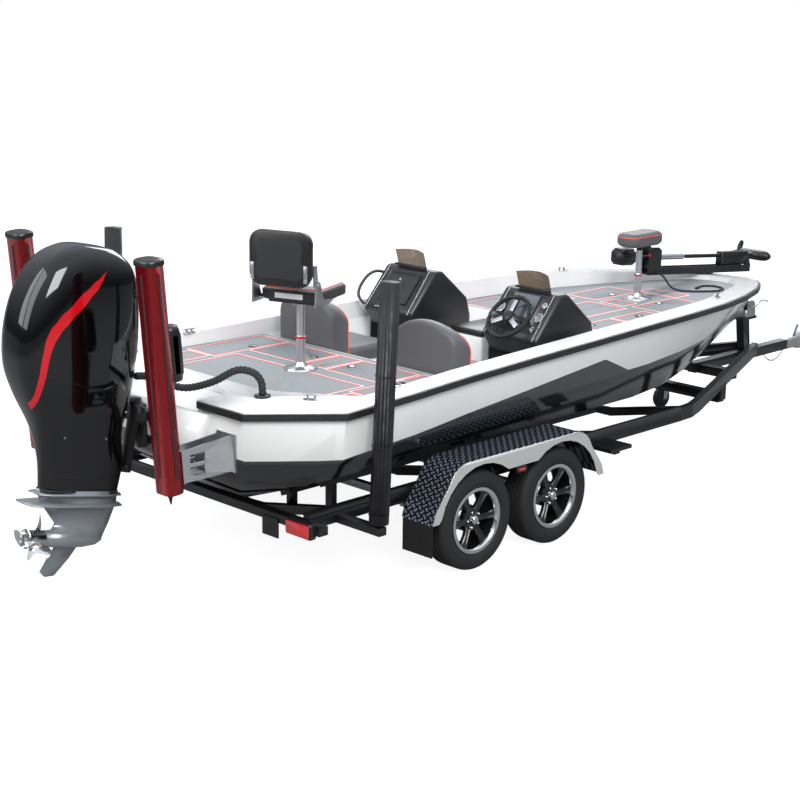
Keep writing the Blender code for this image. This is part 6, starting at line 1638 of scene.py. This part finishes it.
class BOAT_OT_bow_motor(bpy.types.Operator):
    """Finish the bow motor, its lamps and its mount."""

    bl_idname = "boat.bow_motor"
    bl_label = "Bow motor"

    def execute(self, context):
        dress("abs", "bow_motor_mount", "bow_motor_carriage", "bow_motor_shaft", "bow_motor_propeller")
        place_at = bow_frame()
        bm = bmesh.new()
        add_turned(bm, [(0.0222, 0.0), (0.0236, 0.0015), (0.0236, 0.3315), (0.0222, 0.333)],
                   place_at @ upright(-1.234, 0, 0.090) @ spun(90, "Y"), 28)
        piece("bow_motor_sleeve", bm, "aluminium", BODY_OF["bow_motor_shaft"])
        bm = bmesh.new()
        for y in (0.0295, -0.0295):
            where = place_at @ upright(-1.4195, y * 1.6, 0.110) @ spun(-90, "Y")
            add_turned(bm, [(0.0, 0.0), (0.013, 0.0), (0.013, 0.006), (0.010, 0.010), (0.0, 0.011)], where,
                       24, False)
        piece("bow_motor_lamps", bm, "lens")
        bm = bmesh.new()
        for i in range(22):
            for sign in (1, -1):
                add_box(bm, (0.010, 0.004, 0.040),
                        place_at @ upright(-1.200 + 0.052 * i, sign * 0.0510, -0.022),
                        0.0012, 1)
        piece("bow_motor_ribs", bm, "abs")
        bm = bmesh.new()
        head = place_at @ upright(-1.700, 0, 0.100)
        add_plate(bm, rounded(0.150, 0.110, 0.022, 5), 0.0030, head @ upright(0, 0, 0.0640), 0.001)
        piece("bow_motor_head_plate", bm, "screen", BODY_OF["bow_motor_shaft"])
        return {"FINISHED"}


class BOAT_OT_trailer(bpy.types.Operator):
    """Finish the trailer: frame, wheels, guards, lamps, poles, winch and jack."""

    bl_idname = "boat.trailer"
    bl_label = "Trailer"

    def execute(self, context):
        dress("frame", "trailer_frame", angle=25)
        dress("zinc", "axle_rear", "axle_front", "winch", "jack_tube", "jack_caster")
        dress("tread", "guard_port", "guard_starboard", angle=20)
        dress("sleeve", "guide_pole_port", "guide_pole_starboard")
        dress("rubber", "jack_wheel")
        for row, x in (("rear", 0.0), ("front", AXLE_SPACING)):
            for side, sign in SIDES:
                self.wheel(row + "_" + side, x, sign)
        self.lamps()
        self.chain()
        self.strap()
        return {"FINISHED"}

    def wheel(self, name, x, sign):
        """Tyre with round shoulders and three grooves on a six-spoke alloy rim."""
        place_at = upright(x, sign * WHEEL_Y, TYRE_RADIUS) @ spun(-90 * sign, "X")
        body = BODY_OF["tyre_" + name]
        bm = bmesh.new()
        half = list(TYRE_SHOULDER)
        add_turned(bm, half + [(r, -z) for r, z in reversed(half)], place_at, 96)
        tyre = piece("tyre_skin_" + name, bm, "tyre", body, 40)
        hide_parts("tyre_" + name)
        bm = bmesh.new()
        add_turned(bm, [(0.1925, 0.080), (0.2030, 0.082), (0.2030, -0.0840), (0.2175, -0.0850),
                        (0.2175, -0.0930), (0.194, -0.0930), (0.184, -0.050), (0.182, 0.040)], place_at, 72)
        add_turned(bm, [(0.0355, 0.012), (0.083, 0.012), (0.083, 0.034), (0.076, 0.048), (0.064, 0.054),
                        (0.040, 0.058), (0.0355, 0.058)], place_at, 48)
        for i in range(SPOKES):
            self.spoke(bm, place_at @ Matrix.Rotation(2 * math.pi * i / SPOKES, 4, "Z"))
        rim = piece("rim_skin_" + name, bm, "rim", body, 30)
        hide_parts("rim_" + name)
        bm = bmesh.new()
        add_turned(bm,
                   [(0.1830, 0.072), (0.1880, 0.086), (0.1950, 0.0920), (0.2080, 0.0940), (0.2160, 0.0925),
                        (0.2180, 0.0890), (0.2180, 0.0855), (0.2035, 0.0850),
                        (0.1925, 0.0760)], place_at, 96)
        add_turned(bm, [(0.0, 0.050), (0.0335, 0.050), (0.0335, 0.060), (0.0300, 0.066), (0.0280, 0.078),
                        (0.0220, 0.084), (0.0, 0.087)], place_at, 40, False)
        for i in range(WHEEL_NUTS):
            nut = place_at @ Matrix.Rotation(2 * math.pi * (i + 0.5) / WHEEL_NUTS, 4,
                                             "Z") @ upright(0.0540, 0, 0.052)
            add_disc(bm, 0.0095, 0.014, nut, 6, 0.0015)
            add_disc(bm, 0.0075, 0.006, nut @ upright(0, 0, 0.013), 16, 0.002, top=0.004)
        piece("wheel_bright_parts_" + name, bm, "steel", body, 30)

    def spoke(self, bm, place_at):
        """One spoke with a shallow trough down its face and bevelled edges."""
        before = set(bm.verts)
        rings = []
        for r, half, top in ((0.060, 0.026, 0.055), (0.085, 0.022, 0.060), (0.120, 0.022, 0.066),
                             (0.155, 0.027, 0.071), (0.178, 0.033, 0.074), (0.1880, 0.042, 0.075)):
            rings.append([(r, w * half, top - d) for w, d in
                          ((1, 0.028), (1, 0.007), (0.80, 0.0), (0.45, 0.0005), (0.30, 0.005),
                           (-0.30, 0.005), (-0.45, 0.0005), (-0.80, 0.0), (-1, 0.007), (-1, 0.028))])
        add_loft(bm, rings)
        moved(bm, before, place_at)

    def lamps(self):
        """Tail lamps on the rear beam and oval side markers between the wheels."""
        lenses = bmesh.new()
        bases = bmesh.new()
        for _, sign in SIDES:
            where = upright(-1.2945, sign * 0.970, 0.505) @ spun(-90, "Y")
            add_plate(lenses, rounded(0.082, 0.196, 0.012, 4), 0.009, where, 0.003)
            side = upright(0.354, sign * 1.2635, 0.607) @ spun(-90 * sign, "X")
            add_plate(bases, rounded(0.105, 0.042, 0.0205, 8), 0.010, side, 0.003)
            add_plate(lenses, rounded(0.062, 0.018, 0.0088, 6), 0.0025, side @ upright(0, 0, 0.0100), 0.0008)
            for i in range(3):
                band = upright(-0.950 + 0.012 * i, sign * (1.300 + 0.0085 * i), 0.600 + 0.42 * i)
                add_ring(bases, 0.0605, 0.0022, band, 36, 6)
        piece("lamp_lenses", lenses, "lens")
        piece("lamp_bases_and_sleeve_ties", bases, "abs")

    def strap(self):
        """Strap wound on the winch drum."""
        bm = bmesh.new()
        drum = upright(*WINCH_DRUM) @ spun(90, "X")
        add_turned(bm, [(0.020, -0.026), (0.040, -0.026), (0.0415, 0.0), (0.040, 0.026), (0.020, 0.026)],
                   drum, 36)
        piece("winch_strap_roll", bm, "strap")

    def chain(self):
        """Safety chain of welded links that hangs under the coupler."""
        bm = bmesh.new()
        for i in range(CHAIN_LINKS):
            t = i / (CHAIN_LINKS - 1)
            x = 5.060 + CHAIN_SPAN * t
            z = 0.412 - CHAIN_SAG * (1 - (2 * t - 1) ** 2)
            slope = math.atan2(CHAIN_SAG * 4 * (2 * t - 1), CHAIN_SPAN)
            where = (upright(x, 0.030, z) @ Matrix.Rotation(-slope, 4, "Y")
                     @ spun(90 * (i % 2), "X") @ Matrix.Diagonal((1.45, 0.9, 1.0, 1.0)))
            add_ring(bm, 0.0085, 0.0024, where, 18, 8)
        piece("safety_chain", bm, "zinc")


class BOAT_PT_panel(bpy.types.Panel):
    """Lists the steps of the dressing in order."""

    bl_label = "Fishing boat"
    bl_idname = "BOAT_PT_panel"
    bl_space_type = "VIEW_3D"
    bl_region_type = "UI"
    bl_category = "Boat"

    def draw(self, context):
        for name in BoatSettings.__annotations__:
            self.layout.prop(context.scene.boat_settings, name)
        for step in STEPS:
            self.layout.operator(step.bl_idname)


STEPS = (BOAT_OT_stage, BOAT_OT_cords, BOAT_OT_hull, BOAT_OT_decks, BOAT_OT_consoles, BOAT_OT_seats,
         BOAT_OT_outboard, BOAT_OT_masts, BOAT_OT_bow_motor, BOAT_OT_trailer)


def register():
    """Registers the settings, the steps and the panel."""
    for cls in (BoatSettings,) + STEPS + (BOAT_PT_panel,):
        bpy.utils.register_class(cls)
    bpy.types.Scene.boat_settings = bpy.props.PointerProperty(type=BoatSettings)


def unregister():
    """Takes them all out again."""
    del bpy.types.Scene.boat_settings
    for cls in reversed((BoatSettings,) + STEPS + (BOAT_PT_panel,)):
        bpy.utils.unregister_class(cls)


def main():
    """Runs every step in order."""
    register()
    for step in STEPS:
        group, name = step.bl_idname.split(".")
        getattr(getattr(bpy.ops, group), name)()


if __name__ == "__main__":
    main()
